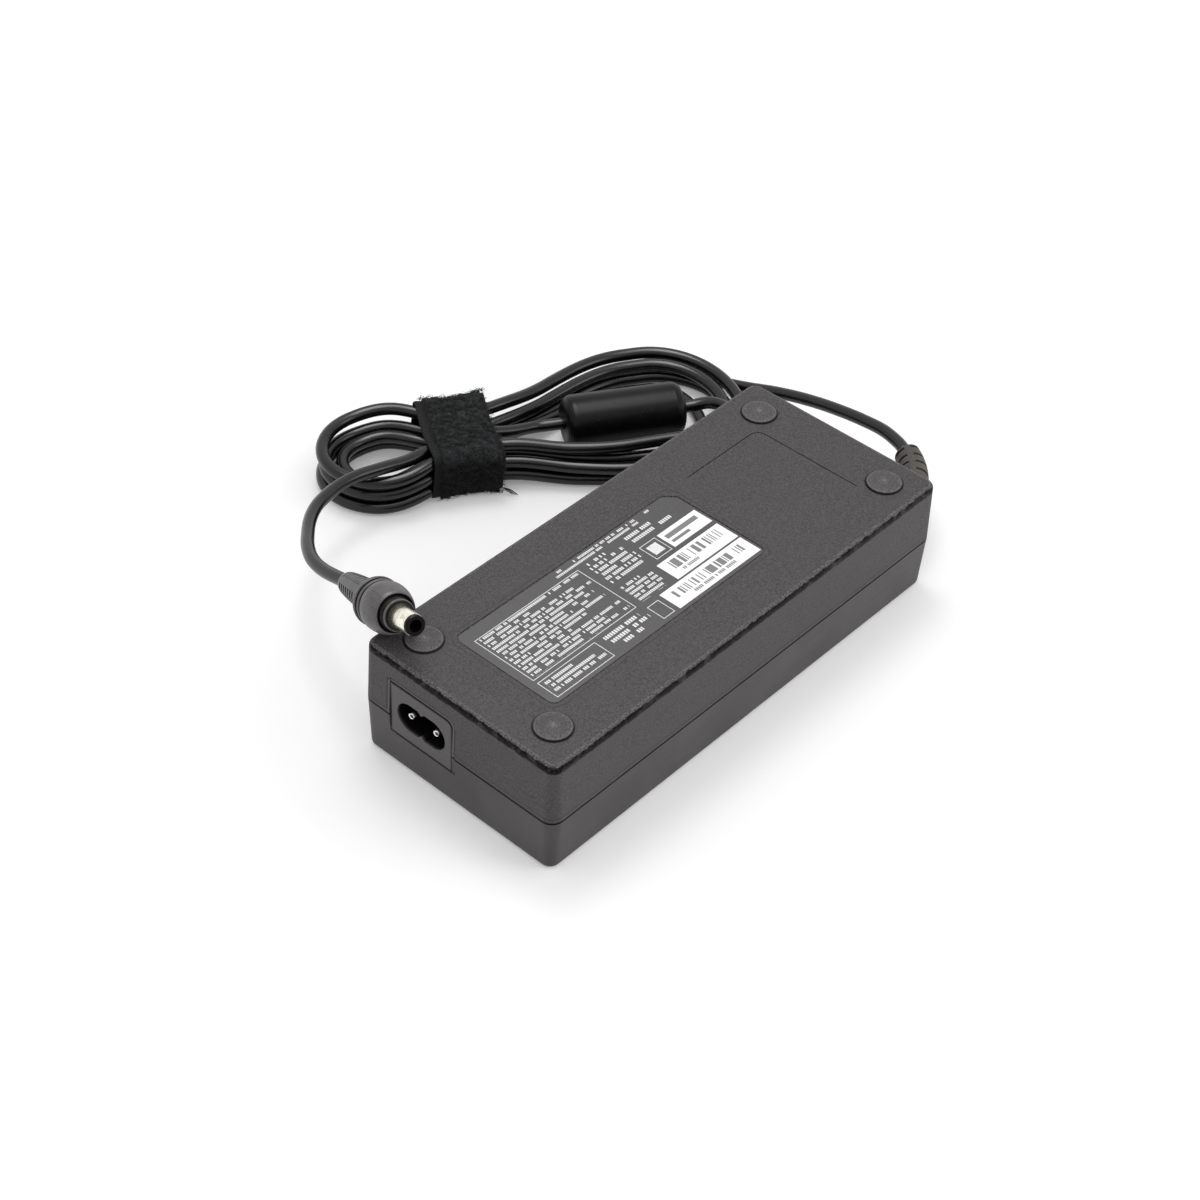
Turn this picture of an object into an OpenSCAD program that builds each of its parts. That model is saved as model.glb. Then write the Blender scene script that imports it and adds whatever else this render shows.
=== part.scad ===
// Laptop power adapter: a two-shell moulded case with a mains inlet at one end and a bound DC cord at the other.
// Millimetres. +X runs along the case from the mains inlet to the cord, +Z up; the feet and the label face up.
// The origin is the centre of the case's flat underside.

/* [Case] */
// Length over the seam, where the case is longest
case_l = 152; // [148:0.5:170]
// Width over the seam, where the case is widest
case_w = 65; // [62:0.5:75]
// Height from the flat underside to the face that carries the feet
case_h = 35; // [34:0.5:42]
// Height of the seam between the two shells
seam_z = 16.4; // [15:0.1:18]
// Wall thickness of both shells
wall = 2.4; // [2:0.1:2.8]
// How far each side leans in from the seam to the top face
upper_draft = 0.6; // [0.2:0.1:1.2]
// How far each side leans in from the seam to the underside
lower_draft = 0.6; // [0.2:0.1:1.2]
// Radius of the upright corners
corner_r = 3.6; // [3:0.1:6]
// Radius of the rounded edge round the top face
top_edge_r = 1.4; // [0.6:0.1:2]
// Radius of the rounded edge round the underside
bottom_edge_r = 1.6; // [0.6:0.1:2]
// Width of the shadow gap at the seam
seam_gap = 0.3; // [0.1:0.05:0.5]
// How far the upper shell's tongue reaches into the lower shell
tongue_h = 1.6; // [1:0.1:2.5]
// Thickness of the upper shell's tongue
tongue_t = 1.1; // [0.8:0.1:1.4]
// Clearance between pieces that are fitted together
fit_gap = 0.1; // [0.05:0.01:0.2]

/* [Feet] */
// Diameter of a rubber foot
foot_d = 9.8; // [8:0.1:11]
// Height of a foot's edge above the case
foot_edge = 0.35; // [0.2:0.05:0.6]
// Height of a foot's crown above its edge
foot_crown = 0.6; // [0.3:0.05:1]
// Depth of the pocket that a foot is glued into
foot_pocket = 0.6; // [0.3:0.05:1]
// Distance of a foot's centre from the case's end
foot_inset_x = 11.1; // [9:0.1:14]
// Distance of a foot's centre from the case's side
foot_inset_y = 10.9; // [9:0.1:14]

/* [Label and moulded frame] */
// Length of the label's pocket
label_l = 81; // [70:0.5:90]
// Width of the label's pocket
label_w = 34.2; // [28:0.5:40]
// Distance of the pocket from the inlet end of the case
label_inset = 16.4; // [15:0.1:20]
// Corner radius of the pocket
label_r = 2.6; // [1:0.1:4]
// Length of the cut across the pocket's one cut corner
label_cut = 4.5; // [2:0.1:8]
// Depth of the label's pocket
label_depth = 0.3; // [0.15:0.05:0.6]
// Thickness of the label
label_t = 0.2; // [0.1:0.05:0.3]
// Gap between the label's edge and the pocket's
label_gap = 0.45; // [0.1:0.05:0.8]
// Length of the moulded frame's line beside the label
frame_l = 29.5; // [20:0.5:31]
// Width of the moulded frame across the case
frame_w = 34.6; // [28:0.5:40]
// Distance of the moulded frame from the cord end of the case
frame_inset = 17.2; // [16:0.1:22]
// Corner radius of the moulded frame
frame_r = 3; // [1:0.1:5]
// Width and depth of the moulded frame's groove
frame_groove = 0.35; // [0.2:0.05:0.6]

/* [Mains inlet] */
// Width of the inlet's front plate
inlet_w = 21.3; // [20:0.1:24]
// Height of the inlet's front plate
inlet_h = 16.6; // [15:0.1:17.5]
// Distance of the inlet's centre from the case's middle
inlet_y = 12; // [10:0.1:13]
// Height of the inlet's centre
inlet_z = 19.3; // [18.5:0.1:20]
// Depth of the housing from its face to its back
inlet_depth = 17; // [15:0.5:20]
// Length of the figure-of-eight socket
socket_l = 16.5; // [16:0.1:17.5]
// Height of the figure-of-eight socket
socket_h = 8.9; // [8:0.1:10]
// Depth of the socket
socket_depth = 10.2; // [8:0.1:12]
// Size of the two keys at the socket's middle
socket_key = 1.5; // [1:0.1:1.8]
// Distance between the two contact pins
pin_pitch = 8.6; // [8:0.1:9]
// Diameter of a contact pin
pin_d = 2.36; // [2:0.02:2.6]
// How far a pin's tip lies behind the inlet's face
pin_set = 0.8; // [0.4:0.1:2]
// Depth of the moulded step in the case round the inlet
surround_step = 0.25; // [0.1:0.05:0.5]
// Width of the moulded step in the case round the inlet
surround_w = 1.3; // [0.8:0.1:2]

/* [Circuit board] */
// Thickness of the board
board_t = 1.6; // [1.2:0.1:2]
// Gap between the board's end and the case wall
board_end_gap = 3; // [2:0.1:5]
// Gap between the board's side and the case wall
board_side_gap = 1.6; // [1:0.1:3]
// Height of the posts that the board rests on
board_post_h = 1.6; // [1.2:0.1:3]
// Diameter of the posts and of the columns that clamp the board
board_post_d = 4; // [3:0.1:5]
// Thickness of the insulating sheet and of the shield
sheet_t = 0.5; // [0.2:0.05:0.8]

/* [Heat sinks and their devices] */
// Thickness of a heat sink
sink_t = 2; // [1.5:0.1:3]
// Height of a heat sink
sink_h = 23; // [20:0.5:25]
// Length of the mains side's heat sink
primary_sink_l = 52; // [48:0.5:56]
// Length of the output side's heat sink
secondary_sink_l = 34; // [28:0.5:38]
// Distance of a heat sink's back from the board's side
sink_inset = 1.6; // [1:0.1:3]
// Width of a power device's moulded body
device_w = 10; // [9:0.1:10.5]
// Height of a power device's moulded body
device_h = 9.2; // [8:0.1:10]
// Thickness of a power device's moulded body
device_t = 4.4; // [4:0.1:5]
// Height of a power device's body above the board
device_lift = 4; // [3:0.1:5]
// Diameter of the screws that hold the devices
screw_d = 3; // [2.5:0.1:3.5]

/* [Wound parts] */
// Outer diameter of the mains filter choke's core
choke_d = 19; // [16:0.5:20]
// Width of the mains filter choke's core
choke_w = 7; // [6:0.1:8]
// Outer diameter of the boost choke's core
boost_d = 22; // [20:0.5:23]
// Height of the boost choke's core
boost_h = 9; // [8:0.1:12]
// How thick the wire lies on a ring core
winding_t = 1.6; // [1:0.1:1.8]
// Length of the transformer's core
transformer_l = 30; // [26:0.5:31]
// Width of the transformer's core
transformer_w = 20; // [16:0.5:21]
// Height of the transformer's core
transformer_h = 22; // [18:0.5:24]
// Diameter of the output choke
output_choke_d = 9; // [7:0.1:9.5]

/* [Capacitors and small parts] */
// Diameter of the mains storage capacitor
bulk_d = 18; // [16:0.5:19]
// Length of the mains storage capacitor
bulk_l = 34; // [28:0.5:36]
// Diameter of an output capacitor
output_cap_d = 10; // [8:0.1:10.5]
// Height of an output capacitor
output_cap_h = 20; // [16:0.5:23]
// Length of the mains filter capacitor
film_cap_l = 18; // [14:0.5:19]
// Height of the mains filter capacitor
film_cap_h = 15; // [12:0.5:18]
// Diameter of the surge absorber's disc
varistor_d = 10; // [8:0.1:11]
// Diameter of the fuse
fuse_d = 8.4; // [7:0.1:8.6]
// Diameter of the insulated wires inside the case
wire_d = 1.8; // [1.4:0.1:2]

/* [Cord] */
// Diameter of the DC cord
cord_d = 3.7; // [3.4:0.1:3.9]
// Diameter of the strain relief where it leaves the case
relief_d = 9.2; // [8.4:0.1:10]
// Diameter of the strain relief at its far end
relief_tip_d = 7.4; // [6.4:0.1:8]
// Distance of the strain relief from the case's middle
relief_y = 19.5; // [17:0.1:20.5]
// Diameter of the strain relief's neck in the case wall
relief_neck_d = 8.4; // [7.6:0.1:8.4]
// Diameter of the strain relief's flange inside the case
relief_flange_d = 11.2; // [10:0.1:12]
// Radius of the bend in the strain relief
relief_bend_r = 28; // [24:0.5:34]
// Angle that the strain relief bends through
relief_turn = 60; // [50:1:62]
// Outer diameter of the ferrite's moulded cover
core_d = 16; // [15:0.1:17]
// Length of the ferrite's moulded cover
core_l = 36; // [34:0.5:42]
// Diameter of the ferrite inside the cover
ferrite_d = 12.4; // [11:0.1:13]
// Length of the ferrite inside the cover
ferrite_l = 30; // [26:0.5:34]
// Width of the cable tie along the hank
tie_w = 20.4; // [16:0.1:22]
// Thickness of the cable tie's tape
tie_t = 1.4; // [1:0.1:1.5]

/* [Plug] */
// Outer diameter of the plug's metal sleeve
sleeve_d = 5.5; // [5:0.1:6]
// Length of the metal sleeve that shows
sleeve_l = 7.5; // [7:0.1:10]
// Wall of the metal sleeve
sleeve_wall = 0.4; // [0.3:0.05:0.5]
// Diameter of the hole for the laptop's centre pin
plug_bore_d = 2.5; // [2.1:0.1:2.6]
// Length of the insulating tip in front of the sleeve
plug_tip_l = 1; // [0.6:0.1:1.4]
// Largest diameter of the plug's grip
grip_d = 13.4; // [12:0.1:14]
// Length of the plug's grip from its front edge to its back
grip_l = 10.4; // [9:0.1:11]
// Diameter of the collar in front of the grip
collar_d = 9; // [8:0.1:10]
// Length of the collar
collar_l = 1.7; // [1.2:0.1:2.5]
// Length of the plug's tapered boot
boot_l = 15.2; // [12:0.1:20]
// Diameter of the boot where the cord enters it
boot_tip_d = 4.8; // [4.6:0.1:6]
// Diameter of the boot where it meets the grip
boot_d = 7.6; // [6.5:0.1:9]

/* [Hidden] */
$fn = 32;

// The case: outer faces, seam and inner faces
half_l = case_l / 2;
half_w = case_w / 2;
edge_steps = 4;
cavity_r = 1.6;
seam_up = seam_z + seam_gap / 2;
seam_down = seam_z - seam_gap / 2;
tongue_z = seam_down - tongue_h;
ceiling = case_h - wall;
upper_lean = atan(upper_draft / (case_h - seam_z));
lower_lean = atan(lower_draft / seam_z);

// The mains inlet: its plate, its rim behind the wall, its body and its pins
inlet_set = 0.4;
inlet_corner_r = 2.2;
inlet_rim = 1;
inlet_rim_t = 1.2;
inlet_body_w = 19.5;
inlet_body_h = 13;
inlet_rim_z = wall + upper_draft - inlet_set;
pin_tip = 0.8;
pin_root_d = 3;
pin_tail_d = 1.6;
pin_tail_l = 2.6;

// The circuit board hangs from the ceiling, so its components point down to the underside
board_back = ceiling - board_post_h;
board_face = board_back - board_t;
board_l = case_l - 2 * (wall + board_end_gap);
board_w = case_w - 2 * (wall + board_side_gap);
post_inset = 10;
post_room = 1.25;
post_at = [half_l - post_inset, inlet_y + (inlet_body_w + board_post_d) / 2 + post_room];
sheet_room = 4;
sheet_inset = 3.5;
sheet_l = 2 * (post_at[0] - board_post_d / 2 - sheet_room);
sheet_w = board_w - 2 * sheet_inset;
sink_y = board_w / 2 - sink_inset - sink_t;

// Where the components stand, in hundredths of the way from the board's middle to its end and to its side
function place(x, y) = [x * board_l / 200, y * board_w / 200];
fuse_at = place(-90.5, -14);
varistor_at = place(-88, -56);
film_cap_at = place(-73.5, -56);
choke_at = place(-61, 35);
boost_at = place(-34.5, -44);
bulk_at = place(13, -64);
y_cap_at = place(5.5, 14);
optocoupler_at = place(-8.5, 31);
optocoupler_size = [6.5, 4.6, 3.5];
optocoupler_lift = 0.4;
optocoupler_legs = [6.9, 2];
chip_at = place(-8.5, -3.5);
chip_size = [4, 5, 1.5];
chip_lift = 0.1;
chip_legs = [4.4, 0.8];
leg_size = [0.6, 0.5];
leg_step = 2.54;
transformer_at = place(42, 26);
output_caps_at = place(73.5, 14);
output_cap_step = place(0, 40)[1];
output_choke_at = place(90.5, 14);
primary_sink_x = place(-22.5, 0)[0];
secondary_sink_x = place(61, 0)[0];

// Where the devices are screwed on, along each heat sink from its middle
bridge_along = -12;
pfc_switch_along = 4;
main_switch_along = 18;
rectifier_along = 9;
bridge_x = primary_sink_x + bridge_along;
pfc_switch_x = primary_sink_x + pfc_switch_along;
main_switch_x = primary_sink_x + main_switch_along;
rectifier_x = secondary_sink_x + rectifier_along;

// Smaller sizes of the components
choke_core_t = 4.5;
boost_core_t = 5;
transformer_leg = 9;
transformer_yoke = 4.5;
winding_room = 0.4;
winding_bulge = 3;
sink_flange = 5;
tab_t = 1.3;
tab_h = 6.5;
tab_hole_up = 3.2;
bridge_w = 20;
bridge_h = 17;
bridge_t = 3.6;
bridge_lift = 3;
bridge_hole_up = 12;
screw_head_d = 5.4;
screw_head_t = 2;
screw_slot_w = 0.8;
screw_nut_t = 2;
lead_w = 0.8;
film_cap_t = 8.5;
fuse_h = 7;
disc_lift = 1.5;
y_cap_d = 7;
output_choke_h = 14;
wire_bend = 3;
wire_run = 0.4;
output_wire_run = 6;
output_wire_pitch = 2.4;

// The strain relief: a flange inside the wall, a neck through it and a slotted arm outside
relief_flange_t = 1.5;
relief_flange_x = half_l - wall - upper_draft - relief_flange_t;
relief_x = half_l + fit_gap;
relief_rings = 12;
relief_sides = 24;
relief_end_r = 0.8;
slot_rows = 5;
slot_w = 0.9;
slot_deep = 1.1;
slot_h = 5.8;

// The plug lies on the edge of the case with its nose up; stations run from the tip to the cord
plug_fit = 0.05;
plug_edge_in = 0.08;
plug_end_in = 0.5;
plug_pitch = 21.7;
plug_heading = 73.4;
washer_z = plug_tip_l + sleeve_l;
washer_t = 0.4;
washer_d = 6.4;
collar_z = washer_z + washer_t;
neck_l = 0.4;
neck_d = 7.8;
grip_z = collar_z + collar_l + neck_l;
grip_front_d = 10.3;
grip_back_d = 9.2;
grip_top = 0.38;
boot_z = grip_z + grip_l;
plug_l = boot_z + boot_l;
sleeve_root_d = sleeve_d - 0.4;
plug_lead_in = 0.35;
plug_tip_edge = 0.3;
sleeve_root_l = 4.5;
contact_wall = 0.3;
contact_bore_l = 9.4;
contact_l = 11.5;
plug_rest_t = grip_z + 0.67 * grip_l;
plug_rest_r = grip_d / 2 - 0.22;
plug_clear = 0.06;
plug_tip_z = case_h + plug_clear + plug_rest_t * sin(plug_pitch) + plug_rest_r * cos(plug_pitch);
plug_tip = [-72.5, half_w - 15.9, plug_tip_z];
plug_dir = [cos(plug_pitch) * cos(plug_heading), cos(plug_pitch) * sin(plug_heading), -sin(plug_pitch)];
boot_end = plug_tip + plug_l * plug_dir;

// The hank: its own axes lie along and across the loops, and one formula winds every loop
hank_at = [20.5, 92];
hank_turn = -32.5;
hank_e = [cos(hank_turn), sin(hank_turn)];
hank_n = [-sin(hank_turn), cos(hank_turn)];
hank_layer = 4.4;
hank_start = -0.125;
hank_end = 4.625;
hank_rings = 24;
hank_stops = 8;
left_at = [-22.5, 1.2];
left_r = [14.7, 13.2];
right_at = [62, 7.5];
right_r = [17, 21];
waist_far = 6.6;
waist_near = -5.6;
far_flare = 56;
near_flare = 45;
left_flare = 19;
left_flare_from = -3.5;

// How far each loop lies outside the hank's middle loop. There are eight stops a loop, from the right
// end of the far run: the run's middle and left end, the left bend, and the same along the near side
hank_out = [
    5.2, 4.6, 3.9, 3.4, 2.9, 2.3, 3, 4.6,
    0.9, 0.3, -0.6, -1.1, -1.7, -2.3, -2.6, -5.6,
    -5.2, -3.5, -3.1, -2.4, -2.3, -2.3, 0, 1.6,
    1.2, 0.5, 1.5, 2.6, 2.6, 2.3, 5, 6.6,
    7.4, 4.5, 3.8, 3.2, 2.9, -0.2, -1.6
];

// The tie round the waist of the hank and the ferrite core lying in the hank
tie_from = -11.6;
tie_stations = 7;
tie_corner_r = 2.2;
tie_far = 14.7;
tie_near = 11.5;
tie_mouth = 1.6;
tie_room = 0.3;
tie_top = 12.8;
core_from = 31;
core_n = 5.2;
core_edge_r = 3;
core_bore_d = cord_d + 0.3;
ferrite_bore_d = core_bore_d + 0.2;

// A smooth step from 0 to 1, and its slope
function step(t) = let (c = max(0, min(1, t))) c * c * (3 - 2 * c);
function step_slope(t) = let (c = max(0, min(1, t))) 6 * c * (1 - c);
function unit(v) = v / norm(v);

// Distance of the far and near runs from the hank's axis, and their slopes
function left_part(s) = (left_flare_from - s) / left_flare;
function far_rise() = right_at[1] + right_r[1] - waist_far;
function near_rise() = right_at[1] - right_r[1] - waist_near;
function far_left() = left_at[1] + left_r[1] - waist_far;
function near_left() = left_at[1] - left_r[1] - waist_near;
function far_run(s) = waist_far + far_rise() * step((s - 1) / far_flare) + far_left() * step(left_part(s));
function near_run(s) = waist_near + near_rise() * step((s - 2) / near_flare) + near_left() * step(left_part(s));
function far_grow(s) =
    norm([1, far_rise() * step_slope((s - 1) / far_flare) / far_flare
             - far_left() * step_slope(left_part(s)) / left_flare]);
function near_grow(s) =
    norm([1, near_rise() * step_slope((s - 2) / near_flare) / near_flare
             - near_left() * step_slope(left_part(s)) / left_flare]);

// The strands lie on the ground at both ends of the hank and are lifted a little inside the tie
function lift(s) = 2.1 + 1.5 * step((30 - abs(s)) / 18);

// One point of the hank, u counting the loops; a quarter of a loop is a run or a bend
function hank_place(s, n, z) =
    [hank_at[0] + s * hank_e[0] + n * hank_n[0], hank_at[1] + s * hank_e[1] + n * hank_n[1], z];
function part_of(u) = u + 1 / 8 - floor(u + 1 / 8);
function level(u) = step((u - 2) * 4 + 0.5) + step((u - 4) * 4 + 0.5);
function shift(u) =
    let (k = (u - hank_start) * hank_stops, i = min(floor(k), len(hank_out) - 2))
    hank_out[i] + (hank_out[i + 1] - hank_out[i]) * step(k - i);
function on_far(s, u) = [s, far_run(s) + shift(u) * far_grow(s)];
function on_near(s, u) = [s, near_run(s) - shift(u) * near_grow(s)];
function on_left(a, u) = left_at + [-(left_r[0] + shift(u)) * sin(a), (left_r[1] + shift(u)) * cos(a)];
function on_right(a, u) =
    right_at + [(right_r[0] + shift(u)) * sin(a), -(right_r[1] + shift(u)) * cos(a)];
function run_s(q) = right_at[0] + (left_at[0] - right_at[0]) * q;
function hank_flat(u) =
    let (q = part_of(u) * 4)
    q < 1 ? on_far(run_s(q), u)
    : q < 2 ? on_left(180 * (q - 1), u)
    : q < 3 ? on_near(run_s(3 - q), u)
    : on_right(180 * (q - 3), u);
function hank_point(u) =
    let (p = hank_flat(u))
    hank_place(p[0], p[1], lift(p[0]) + hank_layer * level(u));
hank_count = round((hank_end - hank_start) * hank_rings);
hank_curve = [for (i = [0 : hank_count]) hank_point(hank_start + i / hank_rings)];
hank_axis = [hank_e[0], hank_e[1], 0];
hank_path = concat([hank_curve[0] + cord_d * hank_axis], hank_curve, [hank_curve[hank_count] + cord_d * hank_axis]);

// Points along a smooth curve through a route's points, halfway points included
function curve_point(a, b, c, d, t) =
    0.5 * (2 * b + (c - a) * t + (2 * a - 5 * b + 4 * c - d) * t * t + (3 * b - a - 3 * c + d) * t * t * t);
function smooth(p) =
    [for (i = [1 : len(p) - 3], t = [0, 0.5]) curve_point(p[i - 1], p[i], p[i + 1], p[i + 2], t)];
function route_path(p) = concat([p[0]], smooth(p), [p[len(p) - 2], p[len(p) - 1]]);

// The cord's free stretches, straight for a diameter at both ends
relief_end = [relief_x + relief_bend_r * sin(relief_turn), -relief_y + relief_bend_r * (1 - cos(relief_turn)), seam_z];
relief_dir = [cos(relief_turn), sin(relief_turn), 0];
lead_route = [
    relief_end, relief_end + cord_d * relief_dir,
    [104.6, 5.5, 16], [105.9, 14.6, 14.5], [106.8, 23.5, 12.6], [107.4, 31.5, 10.6], [107.6, 39.5, 8.4],
    [107.2, 47.5, 6.1], [106.1, 55.5, 3.8], [104.6, 63, 2.3], [103, 70, 2.1], [101.1, 76.8, 2.1],
    hank_path[0] + cord_d * hank_axis, hank_path[0]
];
tail_start = hank_path[hank_count + 2];
core_line = [for (s = [69.4, 61, 52.5, 44, 36, 28.5, 22.5]) hank_place(s, core_n, core_d / 2)];
tail_route = concat(
    [tail_start, tail_start + cord_d * hank_axis,
     hank_place(74.9, -10.6, 10.9), hank_place(78.3, -6.2, 10.9), hank_place(78.2, -0.6, 10.8),
     hank_place(74.8, 3.7, 9.6)],
    core_line,
    [hank_place(14.5, 2.3, 9.9), hank_place(6, 0.2, 12.1), hank_place(-3, -2.1, 12.6), hank_place(-11, -5, 12.8),
     hank_place(-18.5, -9.4, 13.6), hank_place(-26.3, -13.3, 15.4),
     [-16.9, 96.1, 16.6], [-23.7, 96, 17.3], [-30.3, 94.5, 18.1], [-36.1, 92.2, 19], [-41.9, 88.2, 20.2],
     [-47.5, 82.9, 21.8], [-52.6, 77.2, 23.8], [-56.9, 70.5, 26], [-59.6, 62.9, 28.6],
     boot_end + cord_d * plug_dir, boot_end]);

// Rings round a path, and the triangles that join one ring to the next
function heading(p, i) = unit(p[min(i + 1, len(p) - 1)] - p[max(i - 1, 0)]);
function ring(c, t, r, sides) =
    let (x = unit(cross(t, [0, 0, 1])), y = cross(x, t))
    [for (k = [0 : sides - 1]) c + r * (cos(360 * k / sides) * x + sin(360 * k / sides) * y)];
function band(i, m) =
    [for (k = [0 : m - 1], h = [0, 1])
        h == 0 ? [i * m + k, i * m + (k + 1) % m, (i + 1) * m + k]
        : [i * m + (k + 1) % m, (i + 1) * m + (k + 1) % m, (i + 1) * m + k]];
function last_cap(n, m) = [for (k = [0 : m - 1]) (n - 1) * m + k];
function first_cap(m) = [for (k = [0 : m - 1]) m - 1 - k];

module tube(path, sides) {
    n = len(path);
    points = [for (i = [0 : n - 1]) each ring(path[i], heading(path, i), cord_d / 2, sides)];
    sides_faces = [for (i = [0 : n - 2]) each band(i, sides)];
    polyhedron(points, concat([first_cap(sides)], sides_faces, [last_cap(n, sides)]));
}

// The least gap between two strands of the hank, from each ring's centre to the other stretches
function gap_to(p, a, b) =
    let (t = max(0, min(1, ((p - a) * (b - a)) / ((b - a) * (b - a)))))
    norm(p - a - t * (b - a)) - cord_d;
hank_gap = min([
    for (i = [0 : len(hank_path) - 1], j = [0 : len(hank_path) - 2])
        if (abs(i - j - 0.5) > 4) gap_to(hank_path[i], hank_path[j], hank_path[j + 1])
]);
echo(hank_gap = hank_gap);

// Flat outlines
module rounded(l, w, r) {
    square([l - 2 * r, w], center = true);
    square([l, w - 2 * r], center = true);
    for (x = [-1, 1], y = [-1, 1])
        translate([x * (l / 2 - r), y * (w / 2 - r)])
            circle(r);
}

module label_outline(grow) {
    difference() {
        rounded(label_l + 2 * grow, label_w + 2 * grow, label_r + grow);
        translate([label_l / 2 + grow, label_w / 2 + grow])
            rotate(45)
                square(label_cut, center = true);
    }
}

module corner_cut(r, x, y) {
    difference() {
        square(2 * r, center = true);
        translate([-x * r, -y * r])
            circle(r);
    }
}

module inlet_outline(grow) {
    w = inlet_w + 2 * grow;
    h = inlet_h + 2 * grow;
    difference() {
        square([w, h], center = true);
        for (s = [-1, 1])
            translate([-s * w / 2, s * h / 2])
                corner_cut(inlet_corner_r + grow, -s, s);
    }
}

module surround_outline() {
    difference() {
        translate([-inlet_w / 2 - surround_w, -inlet_h / 2])
            square([inlet_w + surround_w, inlet_h + surround_w]);
        translate([-inlet_w / 2 - surround_w, inlet_h / 2 + surround_w])
            corner_cut(inlet_corner_r + surround_w, -1, 1);
    }
}

module socket_outline() {
    difference() {
        union() {
            square([socket_l - socket_h, socket_h], center = true);
            for (s = [-1, 1])
                translate([s * (socket_l - socket_h) / 2, 0])
                    circle(d = socket_h);
        }
        for (s = [-1, 1])
            translate([0, s * socket_h / 2])
                rotate(45)
                    square(socket_key, center = true);
    }
}

// Placing
module at_corners() {
    for (x = [-1, 1], y = [-1, 1])
        translate([x * (half_l - corner_r), y * (half_w - corner_r), 0])
            children();
}

module at_posts() {
    for (x = [-1, 1], y = [-1, 1])
        translate([x * post_at[0], y * post_at[1], 0])
            children();
}

module at_label() {
    translate([label_inset + label_l / 2 - half_l, 0, case_h - label_depth])
        children();
}

module at_inlet() {
    translate([inlet_set - half_l, inlet_y, inlet_z])
        rotate([90, 0, 90])
            children();
}

module on_board(p) {
    translate([p[0], p[1], board_face])
        mirror([0, 0, 1])
            children();
}

module at_relief(x) {
    translate([x, -relief_y, seam_z])
        rotate([0, 90, 0])
            children();
}

module at_plug() {
    translate(plug_tip)
        rotate([0, 90 + plug_pitch, plug_heading])
            children();
}

module at_core() {
    translate(hank_place(core_from, core_n, core_d / 2))
        rotate([0, 90, hank_turn])
            children();
}

// The case shells
module rounded_corner(z1, in1, z2, in2) {
    translate([0, 0, z1])
        cylinder(h = z2 - z1, r1 = corner_r - in1, r2 = corner_r - in2);
}

module upper_solid() {
    hull()
        at_corners() {
            rounded_corner(seam_up, 0, case_h - top_edge_r, upper_draft);
            for (k = [0 : edge_steps - 1])
                rounded_corner(
                    case_h - top_edge_r * (1 - sin(90 * k / edge_steps)),
                    upper_draft + top_edge_r * (1 - cos(90 * k / edge_steps)),
                    case_h - top_edge_r * (1 - sin(90 * (k + 1) / edge_steps)),
                    upper_draft + top_edge_r * (1 - cos(90 * (k + 1) / edge_steps)));
        }
}

module lower_solid() {
    hull()
        at_corners() {
            rounded_corner(bottom_edge_r, lower_draft, seam_down, 0);
            for (k = [0 : edge_steps - 1])
                rounded_corner(
                    bottom_edge_r * (1 - sin(90 * (k + 1) / edge_steps)),
                    lower_draft + bottom_edge_r * (1 - cos(90 * (k + 1) / edge_steps)),
                    bottom_edge_r * (1 - sin(90 * k / edge_steps)),
                    lower_draft + bottom_edge_r * (1 - cos(90 * k / edge_steps)));
        }
}

module cavity() {
    hull()
        for (x = [-1, 1], y = [-1, 1])
            translate([x * (half_l - wall - cavity_r), y * (half_w - wall - cavity_r), 0]) {
                translate([0, 0, wall])
                    cylinder(h = seam_z - wall, r1 = cavity_r - lower_draft, r2 = cavity_r);
                translate([0, 0, seam_z])
                    cylinder(h = ceiling - seam_z, r1 = cavity_r, r2 = cavity_r - upper_draft);
            }
}

module tongue() {
    inset = wall - tongue_t;
    translate([0, 0, tongue_z])
        linear_extrude(height = seam_up - tongue_z + 1)
            difference() {
                rounded(case_l - 2 * inset, case_w - 2 * inset, corner_r - inset);
                rounded(case_l - 2 * wall, case_w - 2 * wall, cavity_r);
            }
}

module rabbet() {
    inset = wall - tongue_t - fit_gap;
    translate([0, 0, tongue_z])
        linear_extrude(height = tongue_h + 1)
            rounded(case_l - 2 * inset, case_w - 2 * inset, corner_r - inset);
}

module surround_cut(lean) {
    translate([-half_l, inlet_y, seam_z])
        rotate([0, lean, 0])
            translate([-1, 0, inlet_z - seam_z])
                rotate([90, 0, 90])
                    linear_extrude(height = 1 + surround_step)
                        surround_outline();
}

module wall_openings() {
    at_inlet()
        translate([0, 0, -wall])
            linear_extrude(height = 3 * wall)
                inlet_outline(fit_gap);
    at_relief(half_l - 2 * wall)
        cylinder(d = relief_neck_d + 2 * fit_gap, h = 3 * wall);
}

module foot_place(i) {
    x = i <= 2 ? -1 : 1;
    y = i % 2 == 1 ? -1 : 1;
    translate([x * (half_l - foot_inset_x), y * (half_w - foot_inset_y), case_h - foot_pocket])
        children();
}

module frame_line() {
    translate([half_l - frame_inset - frame_l, -frame_w / 2, case_h - frame_groove])
        linear_extrude(height = 1) {
            translate([0, frame_w - frame_groove])
                square([frame_l - frame_r, frame_groove]);
            translate([frame_l - frame_groove, 0])
                square([frame_groove, frame_w - frame_r]);
            translate([frame_l - frame_r, frame_w - frame_r])
                intersection() {
                    difference() {
                        circle(frame_r);
                        circle(frame_r - frame_groove);
                    }
                    square(frame_r);
                }
        }
}

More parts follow.
